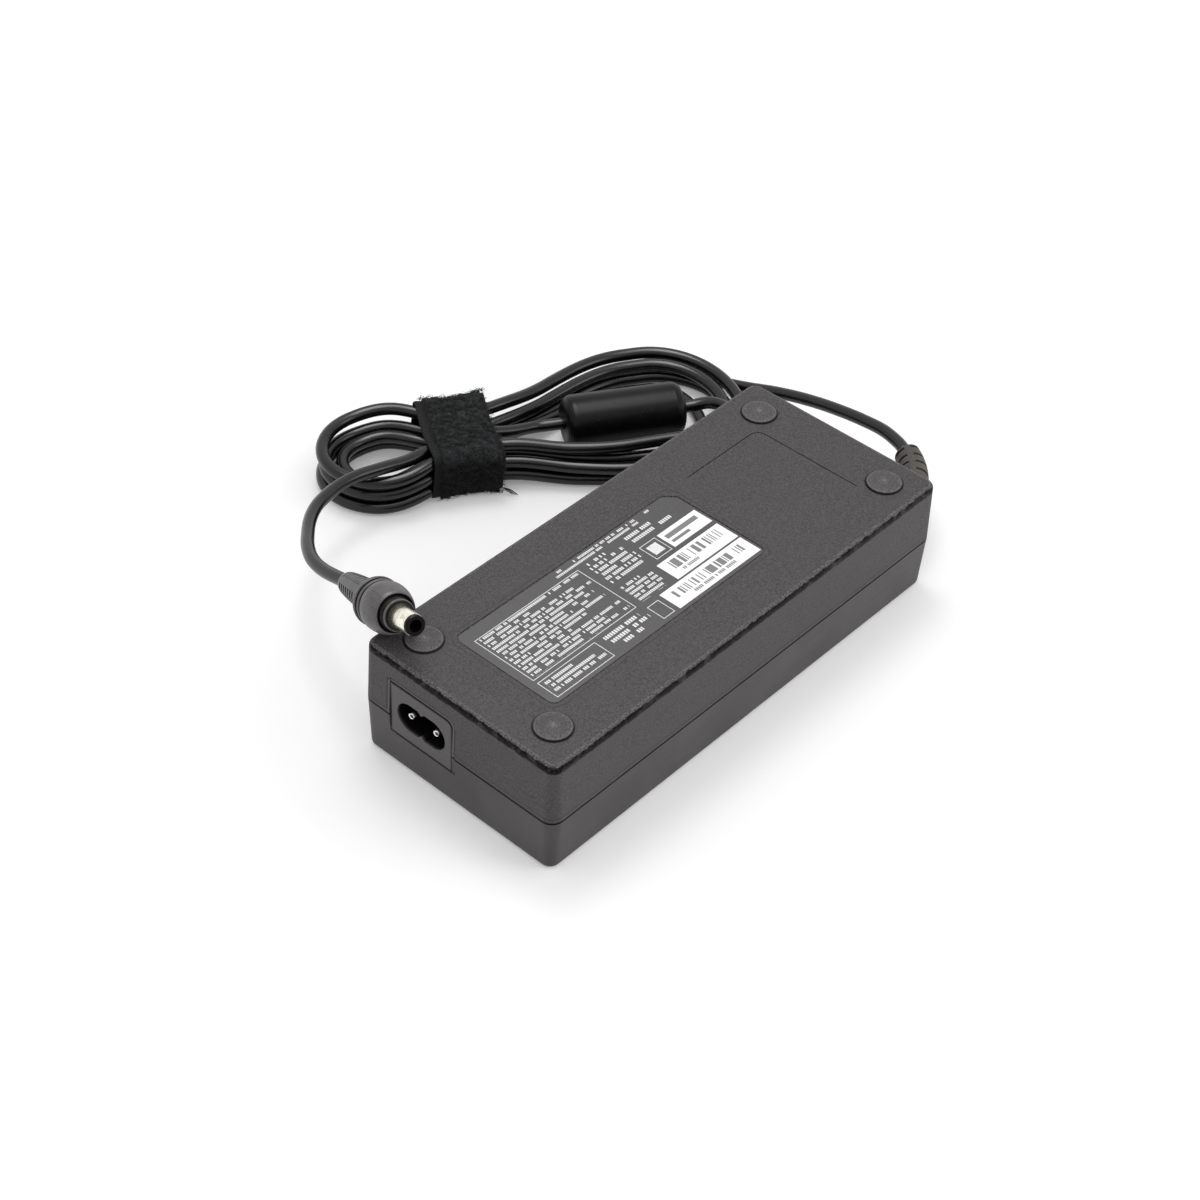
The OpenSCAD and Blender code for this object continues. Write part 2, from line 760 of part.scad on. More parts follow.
module upper_shell() {
    color([0.3, 0.31, 0.33])
        difference() {
            union() {
                difference() {
                    union() {
                        upper_solid();
                        tongue();
                    }
                    cavity();
                }
                at_posts()
                    translate([0, 0, board_back])
                        cylinder(d = board_post_d, h = board_post_h + wall / 2);
            }
            at_label()
                linear_extrude(height = 1)
                    label_outline(0);
            for (i = [1 : 4])
                foot_place(i)
                    cylinder(d = foot_d + 2 * fit_gap, h = foot_pocket + 1);
            frame_line();
            surround_cut(upper_lean);
            wall_openings();
        }
}

module lower_shell() {
    color([0.26, 0.27, 0.29])
        difference() {
            union() {
                difference() {
                    lower_solid();
                    cavity();
                    rabbet();
                }
                at_posts()
                    translate([0, 0, wall / 2])
                        cylinder(d = board_post_d, h = board_face - wall / 2);
            }
            surround_cut(-lower_lean);
            wall_openings();
        }
}

module foot(i) {
    r = foot_d / 2;
    top = foot_pocket + foot_edge;
    dome = [for (a = [0 : 15 : 90]) [r * cos(a), top + foot_crown * sin(a)]];
    color([0.12, 0.12, 0.13])
        foot_place(i)
            rotate_extrude()
                polygon(concat([[0, 0], [r, 0]], dome));
}

module rating_label() {
    color([0.25, 0.26, 0.28])
        at_label()
            linear_extrude(height = label_t)
                label_outline(-label_gap);
}

// The mains inlet
module inlet_housing() {
    color([0.1, 0.1, 0.11])
        at_inlet()
            difference() {
                union() {
                    linear_extrude(height = inlet_rim_z + inlet_rim_t)
                        inlet_outline(0);
                    translate([0, 0, inlet_rim_z])
                        linear_extrude(height = inlet_rim_t)
                            square([inlet_w + 2 * inlet_rim, inlet_h + 2 * inlet_rim], center = true);
                    linear_extrude(height = inlet_depth)
                        square([inlet_body_w, inlet_body_h], center = true);
                }
                translate([0, 0, -1])
                    linear_extrude(height = socket_depth + 1)
                        socket_outline();
                for (s = [-1, 1])
                    translate([s * pin_pitch / 2, 0, 0])
                        cylinder(d = pin_root_d + 2 * fit_gap, h = inlet_depth + 1);
            }
}

module inlet_pin(i) {
    color([0.8, 0.78, 0.7])
        at_inlet()
            translate([(2 * i - 3) * pin_pitch / 2, 0, 0]) {
                translate([0, 0, pin_set])
                    cylinder(d1 = pin_d - pin_tip, d2 = pin_d, h = pin_tip);
                translate([0, 0, pin_set + pin_tip])
                    cylinder(d = pin_d, h = socket_depth - pin_set - pin_tip);
                translate([0, 0, socket_depth])
                    cylinder(d = pin_root_d, h = inlet_depth - socket_depth);
                translate([0, 0, inlet_depth])
                    cylinder(d = pin_tail_d, h = pin_tail_l);
            }
}

module bent_wire(run, rise) {
    rotate([0, 90, 0])
        cylinder(d = wire_d, h = run);
    translate([run, 0, wire_bend])
        rotate([90, 0, 0])
            rotate([0, 0, -90])
                rotate_extrude(angle = 90)
                    translate([wire_bend, 0])
                        circle(d = wire_d, $fn = 16);
    translate([run + wire_bend, 0, wire_bend])
        cylinder(d = wire_d, h = rise);
}

module inlet_wires() {
    color([0.45, 0.3, 0.2])
        for (s = [-1, 1])
            translate([inlet_set - half_l + inlet_depth + pin_tail_l, inlet_y + s * pin_pitch / 2, inlet_z])
                bent_wire(wire_run, board_face - inlet_z - wire_bend);
}

module output_wires() {
    color([0.75, 0.75, 0.78])
        for (s = [-1, 1])
            translate([relief_flange_x, s * output_wire_pitch / 2 - relief_y, seam_z])
                mirror([1, 0, 0])
                    bent_wire(output_wire_run, board_face - seam_z - wire_bend);
}

// The circuit board and the sheets on either side of it
module circuit_board() {
    color([0.1, 0.35, 0.2])
        translate([-board_l / 2, -board_w / 2, board_face])
            cube([board_l, board_w, board_t]);
}

module insulating_sheet() {
    color([0.85, 0.85, 0.8])
        translate([-sheet_l / 2, -sheet_w / 2, ceiling - sheet_t])
            cube([sheet_l, sheet_w, sheet_t]);
}

module shield_plate() {
    color([0.8, 0.8, 0.82])
        translate([-sheet_l / 2, -sheet_w / 2, wall])
            cube([sheet_l, sheet_w, sheet_t]);
}

// Components
module can_profile(d, h) {
    r = d / 2;
    polygon([
        [0, 0], [r, 0], [r, 1.6], [r - 0.5, 2.1], [r, 2.6],
        [r, h - 0.6], [r - 0.6, h], [r - 1.2, h], [r - 1.4, h - 0.3], [0, h - 0.3]
    ]);
}

module disc_part(d, t) {
    translate([0, 0, disc_lift + d / 2])
        rotate([0, 90, 0])
            cylinder(d = d, h = t, center = true);
    for (s = [-1, 1])
        translate([0, s * d / 4, 0])
            cylinder(d = lead_w, h = disc_lift + d / 4);
}

module ring_core(d, h, t) {
    rotate_extrude()
        translate([d / 2 - t, -h / 2])
            square([t, h]);
}

module ring_winding(d, h, t, turn) {
    grow = winding_t;
    rotate_extrude(angle = turn)
        difference() {
            translate([d / 2 - t - grow, -h / 2 - grow])
                square([t + 2 * grow, h + 2 * grow]);
            translate([d / 2 - t - fit_gap, -h / 2 - fit_gap])
                square([t + 2 * fit_gap, h + 2 * fit_gap]);
        }
}

module fuse() {
    color([0.15, 0.15, 0.16])
        on_board(fuse_at) {
            cylinder(d = fuse_d, h = fuse_h);
            translate([0, 0, fuse_h])
                cylinder(d1 = fuse_d, d2 = fuse_d - 1, h = 0.5);
        }
}

module varistor() {
    color([0.15, 0.3, 0.6])
        on_board(varistor_at)
            disc_part(varistor_d, 4);
}

module film_capacitor() {
    color([0.75, 0.7, 0.2])
        on_board(film_cap_at)
            translate([-film_cap_t / 2, -film_cap_l / 2, 0])
                cube([film_cap_t, film_cap_l, film_cap_h]);
}

module at_choke() {
    on_board(choke_at)
        translate([0, 0, choke_d / 2 + winding_t])
            rotate([0, 90, 0])
                children();
}

module choke_core() {
    color([0.2, 0.4, 0.3])
        at_choke()
            ring_core(choke_d, choke_w, choke_core_t);
}

module choke_winding() {
    color([0.75, 0.4, 0.2])
        at_choke()
            for (a = [25, 205])
                rotate(a)
                    ring_winding(choke_d, choke_w, choke_core_t, 130);
}

module at_boost() {
    on_board(boost_at)
        translate([0, 0, boost_h / 2 + winding_t])
            children();
}

module boost_core() {
    color([0.85, 0.8, 0.3])
        at_boost()
            ring_core(boost_d, boost_h, boost_core_t);
}

module boost_winding() {
    color([0.72, 0.38, 0.18])
        at_boost()
            rotate(15)
                ring_winding(boost_d, boost_h, boost_core_t, 330);
}

module bulk_capacitor() {
    color([0.12, 0.12, 0.2])
        on_board(bulk_at)
            translate([-bulk_l / 2, 0, bulk_d / 2])
                rotate([0, 90, 0])
                    rotate_extrude()
                        can_profile(bulk_d, bulk_l);
}

module output_capacitor(i) {
    color([0.2, 0.2, 0.35])
        on_board([output_caps_at[0], output_caps_at[1] - output_cap_step * (i - 1)])
            rotate_extrude()
                can_profile(output_cap_d, output_cap_h);
}

module y_capacitor() {
    color([0.2, 0.35, 0.7])
        on_board(y_cap_at)
            disc_part(y_cap_d, 3);
}

module legs(rows, step, across, h) {
    for (k = [0 : rows - 1], s = [-1, 1])
        translate([(s * across - leg_size[0]) / 2, (k - (rows - 1) / 2) * step - leg_size[1] / 2, 0])
            cube([leg_size[0], leg_size[1], h]);
}

module optocoupler() {
    color([0.2, 0.2, 0.2])
        on_board(optocoupler_at) {
            translate([-optocoupler_size[0] / 2, -optocoupler_size[1] / 2, optocoupler_lift])
                cube(optocoupler_size);
            legs(2, leg_step, optocoupler_legs[0], optocoupler_legs[1]);
        }
}

module control_chip() {
    color([0.15, 0.15, 0.16])
        on_board(chip_at) {
            translate([-chip_size[0] / 2, -chip_size[1] / 2, chip_lift])
                cube(chip_size);
            legs(4, leg_step / 2, chip_legs[0], chip_legs[1]);
        }
}

module output_choke() {
    color([0.2, 0.2, 0.22])
        on_board(output_choke_at) {
            cylinder(d = output_choke_d, h = output_choke_h);
            translate([0, 0, output_choke_h])
                cylinder(d1 = output_choke_d, d2 = output_choke_d - 1.2, h = 0.6);
        }
}

module transformer_core() {
    room = (transformer_l - 2 * transformer_yoke - transformer_leg) / 2;
    color([0.25, 0.25, 0.27])
        on_board(transformer_at)
            difference() {
                translate([-transformer_l / 2, -transformer_w / 2, 0])
                    cube([transformer_l, transformer_w, transformer_h]);
                for (s = [-1, 1])
                    translate([s * (transformer_leg + room) / 2, 0, transformer_h / 2])
                        cube([room, transformer_w + 1, transformer_h - 2 * transformer_yoke], center = true);
            }
}

module transformer_winding() {
    room = (transformer_l - 2 * transformer_yoke - transformer_leg) / 2;
    color([0.9, 0.75, 0.3])
        on_board(transformer_at)
            translate([0, 0, transformer_yoke + fit_gap])
                linear_extrude(height = transformer_h - 2 * transformer_yoke - 2 * fit_gap)
                    difference() {
                        rounded(transformer_leg + 2 * room - winding_room, transformer_w + 2 * winding_bulge, 3);
                        square([transformer_leg + 2 * fit_gap, transformer_w + 2 * fit_gap], center = true);
                    }
}

// Heat sinks, with the devices screwed to their inner faces
module sink_hole(x, up) {
    translate([x, 0, up])
        rotate([-90, 0, 0])
            cylinder(d = screw_d + 2 * fit_gap, h = 4 * sink_t, center = true);
}

module sink(x, l, holes) {
    on_board([0, sink_y])
        difference() {
            union() {
                translate([x - l / 2, 0, 0])
                    cube([l, sink_t, sink_h]);
                translate([x - l / 2, -sink_flange, sink_h - sink_t])
                    cube([l, sink_flange, sink_t]);
            }
            for (h = holes)
                sink_hole(h[0], h[1]);
        }
}

device_hole = device_lift + device_h + tab_hole_up;
bridge_hole = bridge_lift + bridge_hole_up;

module primary_heat_sink() {
    color([0.75, 0.76, 0.78])
        sink(primary_sink_x, primary_sink_l,
            [[bridge_x, bridge_hole], [pfc_switch_x, device_hole], [main_switch_x, device_hole]]);
}

module secondary_heat_sink() {
    color([0.75, 0.76, 0.78])
        sink(secondary_sink_x, secondary_sink_l, [[rectifier_x, device_hole]]);
}

module device(x) {
    color([0.18, 0.18, 0.2])
        on_board([x, sink_y]) {
            translate([-device_w / 2, -device_t, device_lift])
                cube([device_w, device_t, device_h]);
            difference() {
                translate([-device_w / 2, -tab_t, device_lift])
                    cube([device_w, tab_t, device_h + tab_h]);
                sink_hole(0, device_hole);
            }
            for (k = [-1 : 1])
                translate([k * leg_step - lead_w / 2, -device_t / 2, 0])
                    cube([lead_w, lead_w, device_lift + 1]);
        }
}

module bridge_rectifier() {
    color([0.2, 0.2, 0.22])
        on_board([bridge_x, sink_y]) {
            difference() {
                translate([-bridge_w / 2, -bridge_t, bridge_lift])
                    cube([bridge_w, bridge_t, bridge_h]);
                sink_hole(0, bridge_hole);
            }
            for (k = [-1.5 : 1.5])
                translate([k * 5 - lead_w / 2, -bridge_t / 2, 0])
                    cube([lead_w, lead_w, bridge_lift + 1]);
        }
}

module sink_screw(x, up, under) {
    reach = under + sink_t;
    on_board([x, sink_y])
        translate([0, -under, up])
            rotate([-90, 0, 0]) {
                difference() {
                    translate([0, 0, -screw_head_t])
                        cylinder(d = screw_head_d, h = screw_head_t);
                    translate([-screw_head_d / 2, -screw_slot_w / 2, -screw_head_t - 0.2])
                        cube([screw_head_d, screw_slot_w, 1]);
                }
                cylinder(d = screw_d, h = reach);
                translate([0, 0, reach])
                    cylinder(d = screw_head_d, h = screw_nut_t, $fn = 6);
            }
}

module heat_sink_screws() {
    color([0.8, 0.8, 0.82]) {
        sink_screw(bridge_x, bridge_hole, bridge_t);
        for (x = [pfc_switch_x, main_switch_x, rectifier_x])
            sink_screw(x, device_hole, tab_t);
    }
}

// The strain relief
function relief_r(a) = (relief_d + (relief_tip_d - relief_d) * a / relief_turn) / 2;
function relief_pos(a) = [relief_x + relief_bend_r * sin(a), -relief_y + relief_bend_r * (1 - cos(a)), seam_z];

module relief_arm() {
    angles = concat([for (k = [0 : relief_rings - 2]) k * (relief_turn - 3) / (relief_rings - 2)], [relief_turn]);
    n = len(angles);
    points = [
        for (k = [0 : n - 1])
            each ring(relief_pos(angles[k]), [cos(angles[k]), sin(angles[k]), 0],
                relief_r(angles[k]) - (k == n - 1 ? relief_end_r : 0), relief_sides)
    ];
    bands = [for (k = [0 : n - 2]) each band(k, relief_sides)];
    polyhedron(points, concat([first_cap(relief_sides)], bands, [last_cap(n, relief_sides)]));
}

module strain_relief() {
    color([0.13, 0.13, 0.14])
        difference() {
            union() {
                at_relief(relief_flange_x)
                    cylinder(d = relief_flange_d, h = relief_flange_t);
                at_relief(relief_flange_x)
                    cylinder(d = relief_neck_d, h = relief_x - relief_flange_x + 1);
                relief_arm();
            }
            for (k = [1 : slot_rows], s = [-1, 1])
                translate(relief_pos(k * relief_turn / (slot_rows + 1)))
                    rotate(k * relief_turn / (slot_rows + 1))
                        translate([0, s * relief_r(k * relief_turn / (slot_rows + 1)), 0])
                            cube([slot_w, 2 * slot_deep, slot_h], center = true);
        }
}

// The cord, the ferrite core and the tie
module cord_lead() {
    color([0.12, 0.12, 0.13])
        tube(route_path(lead_route), 8);
}

module cord_hank() {
    color([0.12, 0.12, 0.13])
        tube(hank_path, 6);
}

module cord_tail() {
    color([0.12, 0.12, 0.13])
        tube(route_path(tail_route), 8);
}

module core_cover() {
    side = core_d / 2 - core_edge_r;
    near_end = [for (a = [0 : 18 : 90]) [side + core_edge_r * sin(a), core_edge_r * (1 - cos(a))]];
    far_end = [for (a = [90 : -18 : 0]) [side + core_edge_r * sin(a), core_l - core_edge_r * (1 - cos(a))]];
    color([0.11, 0.11, 0.12])
        at_core()
            rotate_extrude()
                difference() {
                    polygon(concat([[core_bore_d / 2, 0]], near_end, far_end, [[core_bore_d / 2, core_l]]));
                    translate([0, (core_l - ferrite_l) / 2 - fit_gap])
                        square([ferrite_d / 2 + fit_gap, ferrite_l + 2 * fit_gap]);
                }
}

module ferrite_sleeve() {
    color([0.3, 0.3, 0.31])
        at_core()
            translate([0, 0, (core_l - ferrite_l) / 2])
                rotate_extrude()
                    translate([ferrite_bore_d / 2, 0])
                        square([(ferrite_d - ferrite_bore_d) / 2, ferrite_l]);
}

function tie_flare(s) = tie_mouth * pow(2 * (s - tie_from) / tie_w - 1, 2);
function tie_ring(s, grow) =
    let (n1 = -tie_near - tie_flare(s) - grow, n2 = tie_far + tie_flare(s) + grow, z1 = tie_t - grow)
    let (z2 = tie_top + cord_d / 2 + tie_room + grow, r = tie_corner_r + grow)
    [for (q = [3 : -1 : 0], a = [90 : -18 : 0])
        hank_place(s,
            (q == 0 || q == 3 ? n2 - r : n1 + r) + r * cos(90 * q + a),
            (q < 2 ? z2 - r : z1 + r) + r * sin(90 * q + a))];

module cable_tie() {
    n = tie_stations;
    stations = [for (i = [0 : n - 1]) tie_from + tie_w * i / (n - 1)];
    outer = [for (s = stations) each tie_ring(s, tie_t)];
    inner = [for (s = stations) each tie_ring(s, 0)];
    m = len(outer) / n;
    shell = [for (i = [0 : n - 2]) each band(i, m)];
    lining = [for (f = shell) [f[2], f[1], f[0]] + n * m * [1, 1, 1]];
    ends = [
        for (k = [0 : m - 1], h = [0, 1], e = [0, 1])
            let (j = (k + 1) % m, o = e * (n - 1) * m, i = n * m + o)
            let (f = h == 0 ? [o + k, o + j, i + k] : [o + j, i + j, i + k])
            e == 1 ? f : [f[2], f[1], f[0]]
    ];
    color([0.1, 0.11, 0.11])
        polyhedron(concat(outer, inner), concat(shell, lining, ends));
}

// The plug
function grip_r(t) =
    t < grip_top
    ? grip_d / 2 - (grip_d - grip_front_d) / 2 * pow(1 - t / grip_top, 2.2)
    : grip_d / 2 - (grip_d - grip_back_d) / 2 * pow((t - grip_top) / (1 - grip_top), 3);

module plug_profile() {
    bore = sleeve_root_d / 2 + plug_fit;
    front = collar_z;
    neck = collar_z + collar_l;
    end = washer_z + sleeve_root_l + plug_fit;
    grip = [for (k = [0 : 14]) [grip_r(k / 14), grip_z + grip_l * k / 14]];
    difference() {
        polygon(concat(
            [[0, end], [bore, end], [bore, front], [collar_d / 2 - 0.4, front], [collar_d / 2, front + 0.4],
             [collar_d / 2, neck], [neck_d / 2, neck], [neck_d / 2, grip_z]],
            grip,
            [[boot_d / 2, boot_z + 0.3], [boot_tip_d / 2 + 0.2, plug_l - 0.6], [boot_tip_d / 2, plug_l], [0, plug_l]]));
        for (k = [0.6, 0.73, 0.86])
            translate([grip_r(k) - 0.3, grip_z + grip_l * k])
                square([1, 0.5]);
    }
}

module plug_body() {
    color([0.13, 0.13, 0.14])
        at_plug()
            difference() {
                rotate_extrude()
                    plug_profile();
                for (a = [0 : 90 : 270], k = [0 : 4])
                    rotate(a + 45 * (k % 2))
                        translate([boot_d / 2, 0, boot_z + 2.4 + 2.1 * k])
                            cube([2.2 + 0.35 * k, 3.2 - 0.25 * k, 0.9], center = true);
            }
}

module plug_washer() {
    color([0.6, 0.6, 0.58])
        at_plug()
            translate([0, 0, washer_z])
                difference() {
                    cylinder(d = washer_d, h = washer_t);
                    translate([0, 0, -1])
                        cylinder(d = sleeve_root_d + 2 * plug_fit, h = washer_t + 2);
                }
}

module plug_sleeve() {
    color([0.82, 0.82, 0.8])
        at_plug()
            difference() {
                union() {
                    translate([0, 0, plug_tip_l])
                        cylinder(d = sleeve_d, h = sleeve_l);
                    translate([0, 0, washer_z])
                        cylinder(d = sleeve_root_d, h = sleeve_root_l);
                }
                cylinder(d = sleeve_d - 2 * sleeve_wall, h = plug_l);
            }
}

module plug_insulator() {
    seat = plug_bore_d / 2 + contact_wall + plug_fit;
    inside = sleeve_d / 2 - sleeve_wall - plug_fit;
    end = washer_z + sleeve_root_l - plug_end_in;
    color([0.08, 0.08, 0.09])
        at_plug()
            rotate_extrude()
                polygon([
                    [plug_bore_d / 2 + plug_lead_in, 0], [sleeve_d / 2 - plug_tip_edge, 0],
                    [sleeve_d / 2 - plug_edge_in, plug_tip_edge], [sleeve_d / 2 - plug_fit, plug_tip_l],
                    [inside, plug_tip_l], [inside, end], [seat, end], [seat, plug_tip_l], [plug_bore_d / 2, plug_tip_l]
                ]);
}

module plug_contact() {
    color([0.8, 0.7, 0.4])
        at_plug()
            translate([0, 0, plug_tip_l])
                difference() {
                    cylinder(d = plug_bore_d + 2 * contact_wall, h = contact_l);
                    translate([0, 0, -1])
                        cylinder(d = plug_bore_d, h = contact_bore_l + 1);
                }
}

upper_shell();
lower_shell();
for (i = [1 : 4])
    foot(i);
rating_label();
inlet_housing();
for (i = [1 : 2])
    inlet_pin(i);
inlet_wires();
output_wires();
circuit_board();
insulating_sheet();
shield_plate();
fuse();
varistor();
film_capacitor();
choke_core();
choke_winding();
boost_core();
boost_winding();
bulk_capacitor();
y_capacitor();
optocoupler();
control_chip();
output_choke();
for (i = [1 : 3])
    output_capacitor(i);
transformer_core();
transformer_winding();
primary_heat_sink();
secondary_heat_sink();
bridge_rectifier();
device(pfc_switch_x);  // pfc_switch
device(main_switch_x);  // main_switch
device(rectifier_x);  // output_rectifier
heat_sink_screws();
strain_relief();
cord_lead();
cord_hank();
cord_tail();
core_cover();
ferrite_sleeve();
cable_tie();
plug_body();
plug_washer();
plug_sleeve();
plug_insulator();
plug_contact();
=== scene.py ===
import math

import bpy
import numpy as np
from mathutils import Matrix, Vector


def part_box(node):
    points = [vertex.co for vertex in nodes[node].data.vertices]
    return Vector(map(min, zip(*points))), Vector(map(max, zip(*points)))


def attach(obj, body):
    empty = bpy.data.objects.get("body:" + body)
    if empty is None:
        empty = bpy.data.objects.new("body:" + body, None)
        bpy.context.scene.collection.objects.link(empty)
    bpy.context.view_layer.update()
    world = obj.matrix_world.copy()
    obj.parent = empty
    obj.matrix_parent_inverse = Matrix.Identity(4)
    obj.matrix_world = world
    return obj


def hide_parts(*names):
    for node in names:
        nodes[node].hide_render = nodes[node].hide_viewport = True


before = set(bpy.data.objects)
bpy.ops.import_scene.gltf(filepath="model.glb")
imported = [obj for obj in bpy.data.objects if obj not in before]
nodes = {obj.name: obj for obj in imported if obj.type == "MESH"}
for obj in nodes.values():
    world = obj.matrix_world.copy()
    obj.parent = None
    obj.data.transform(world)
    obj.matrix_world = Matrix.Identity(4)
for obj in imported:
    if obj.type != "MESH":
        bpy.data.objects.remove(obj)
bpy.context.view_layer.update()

# The view: a long lens that looks down over the mains inlet's end of the case.
# The picture is square, and its right, up and backward directions are at right angles.
eye = Vector((-0.367623, -0.287345, 0.435244))
look = Vector((0.572141, 0.479193, -0.665604))
upward = Vector((0.472748, 0.470486, 0.745086))
camera = bpy.data.objects.new("camera", bpy.data.cameras.new("camera"))
bpy.context.scene.collection.objects.link(camera)
axes = Matrix((look.cross(upward), upward, -look)).transposed()
camera.matrix_world = Matrix.Translation(eye) @ axes.to_4x4()
camera.data.lens = 71.98
camera.data.clip_start = 0.01
camera.data.clip_end = 20
bpy.context.scene.camera = camera


# The ground: a plain white sheet that keeps the soft shadow under the adapter. It looks a little brighter
# than it lights the case, and more so far from the case, where the lamps reach it less.
class Wire:
    """One output of a shader node. Arithmetic on it adds Math nodes, and node() adds any other."""

    def __init__(self, socket):
        self.socket = socket

    def node(self, kind, settings=None, inputs=None, output=0):
        """Adds a node: its settings are set first, then the values or links of its sockets."""
        tree = self.socket.id_data
        made = tree.nodes.new("ShaderNode" + kind)
        for key, value in (settings or {}).items():
            setattr(made, key, value)
        for key, value in (inputs or {}).items():
            if isinstance(value, Wire):
                tree.links.new(value.socket, made.inputs[key])
            else:
                made.inputs[key].default_value = value
        return Wire(made.outputs[output])

    def math(self, operation, *others):
        """A Math node on this value and the others."""
        return self.node("Math", {"operation": operation}, dict(enumerate((self,) + others)))

    def __add__(self, other):
        return self.math("ADD", other)

    def __sub__(self, other):
        return self.math("SUBTRACT", other)

    def __rsub__(self, other):
        return self.node("Math", {"operation": "SUBTRACT"}, {0: other, 1: self})

    def __mul__(self, other):
        return self.math("MULTIPLY", other)

    def __truediv__(self, other):
        return self.math("DIVIDE", other)

    def __gt__(self, other):
        return self.math("GREATER_THAN", other)

    def __lt__(self, other):
        return self.math("LESS_THAN", other)

    __radd__ = __add__
    __rmul__ = __mul__

    def part(self, axis):
        """One coordinate of a vector."""
        return self.node("SeparateXYZ", None, {0: self}, axis)

    def along(self, direction):
        """A vector's share in a direction."""
        dot = {"operation": "DOT_PRODUCT"}
        return self.node("VectorMath", dot, {0: self, 1: tuple(direction)}, "Value")

    def within(self, low, high):
        """0 below low, 1 above high and a smooth step between them."""
        ranged = {"interpolation_type": "SMOOTHSTEP"}
        return self.node("MapRange", ranged, {0: self, 1: low, 2: high, 3: 0, 4: 1})

    def noise(self, scale, detail=2, roughness=0.5):
        """Noise with one grain every 1 / scale metres."""
        wanted = {"Vector": self, "Scale": scale, "Detail": detail, "Roughness": roughness}
        return self.node("TexNoise", None, wanted)

    def stretched(self, x, y, z):
        """A vector with each of its coordinates times a number."""
        return self.node("Mapping", None, {"Vector": self, "Scale": (x, y, z)})

    def blend(self, dark, light):
        """The dark colour where this is 0 and the light one where it is 1."""
        return self.node("Mix", {"data_type": "RGBA"}, {0: self, 6: dark, 7: light}, 2)

    def bump(self, height, strength=1):
        """Relief of that height in metres."""
        return self.node("Bump", None, {"Height": self, "Distance": height, "Strength": strength})


def colour(red, green, blue):
    """A colour from its levels on the 0 to 255 scale of a screen."""
    return tuple((max(tone, 0) / 255) ** 2.2 for tone in (red, green, blue)) + (1,)


def grey(level, tint=1):
    """A grey of that level, turned a little towards red."""
    return colour(level + tint, level - 1.5 * tint, level)


def material(name):
    """A new material and its Object coordinates, from which its other nodes are made."""
    made = bpy.data.materials.new(name)
    made.use_nodes = True
    return made, Wire(made.node_tree.nodes.new("ShaderNodeTexCoord").outputs["Object"])


def shade(made, **sockets):
    """Sets the shader's sockets by name, an underscore standing for a space."""
    shader = made.node_tree.nodes["Principled BSDF"]
    for key, value in sockets.items():
        target = shader.inputs[key.replace("_", " ")]
        if isinstance(value, Wire):
            made.node_tree.links.new(value.socket, target)
        else:
            target.default_value = value


def seen(tree):
    """1 for the rays that show a surface, straight, in a mirror or through glass, and 0 for its light."""
    kinds = tree.nodes.new("ShaderNodeLightPath").outputs
    shown = Wire(kinds["Is Camera Ray"])
    for kind in ("Is Glossy Ray", "Is Transmission Ray"):
        shown = shown.math("MAXIMUM", Wire(kinds[kind]))
    return shown


def piece(name, points, faces, made, smooth=True):
    """A mesh object at the origin, from an array of points and the lists of points that its faces join."""
    mesh = bpy.data.meshes.new(name)
    mesh.from_pydata(points.reshape(-1, 3).tolist(), [], [list(face) for face in faces])
    mesh.polygons.foreach_set("use_smooth", np.full(len(mesh.polygons), smooth))
    mesh.materials.append(made)
    built = bpy.data.objects.new(name, mesh)
    bpy.context.scene.collection.objects.link(built)
    return built


floor_half, floor_glow = 2.2, 0.48
lit_to, white_from = 0.5, 1
floor_paint, spot = material("ground_white")
rays = seen(floor_paint.node_tree)
far_off = spot.node("VectorMath", {"operation": "LENGTH"}, {0: spot}, "Value").within(lit_to, white_from)
glow = rays.blend(grey(0, 0), far_off.blend(grey(167, 0), grey(255, 0)))
shade(floor_paint, Base_Color=grey(240, 0), Roughness=0.9, Specular_IOR_Level=0.1)
shade(floor_paint, Emission_Color=glow, Emission_Strength=floor_glow)
corners = np.array([(-1, -1, 0), (1, -1, 0), (1, 1, 0), (-1, 1, 0)]) * floor_half
floor = piece("ground", corners, [(0, 1, 2, 3)], floor_paint, False)

# The light: an even white room, which is plain white wherever it is seen or mirrored, a soft lamp overhead
# behind the case, and one low in front of its long side. A third, wide one lays its shine on what is
# glossy: only reflections show it, and it adds no light to any surface's own colour.
room_level = 0.82
world = bpy.data.worlds.new("room")
world.use_nodes = True
bpy.context.scene.world = world
back = world.node_tree.nodes["Background"]
level = room_level + (1 - room_level) * seen(world.node_tree)
world.node_tree.links.new(level.socket, back.inputs["Strength"])
back.inputs["Color"].default_value = (1, 1, 1, 1)
for name, place, width, watts in (
    ("lamp_top", (0.15, 0.3, 0.9), 0.32, 1.8),
    ("lamp_side", (0.55, -0.85, 0.5), 0.5, 2.3),
    ("lamp_shine", (0.05, 0.1, 0.8), 0.6, 7),
):
    lamp = bpy.data.objects.new(name, bpy.data.lights.new(name, "AREA"))
    lamp.data.shape = "SQUARE"
    lamp.data.size = width
    lamp.data.energy = watts
    lamp.location = place
    lamp.rotation_euler = (-Vector(place)).to_track_quat("-Z", "Y").to_euler()
    lamp.visible_diffuse = name != "lamp_shine"
    bpy.context.scene.collection.objects.link(lamp)
bpy.context.scene.view_settings.view_transform = "Standard"


# The two shells of the case: dark grey ABS, moulded with a fine spark-eroded grain on the upper one and
# a smoother one on the lower, and welded at the seam. The rounded edge round the top face has an uneven
# band of painted shade, with a thin painted highlight above it. That edge and the seam are near-black
# metal to the shader, so that they don't mirror the room. Painted shade also lies along the seam, down the
# upright corners, in the groove round the inlet's plate, round the feet and along the label's pocket, and
# painted light lies on the walls and on a thin line round the plate.
def dress(made, *names):
    """Gives CAD nodes that material."""
    for name in names:
        nodes[name].data.materials.clear()
        nodes[name].data.materials.append(made)


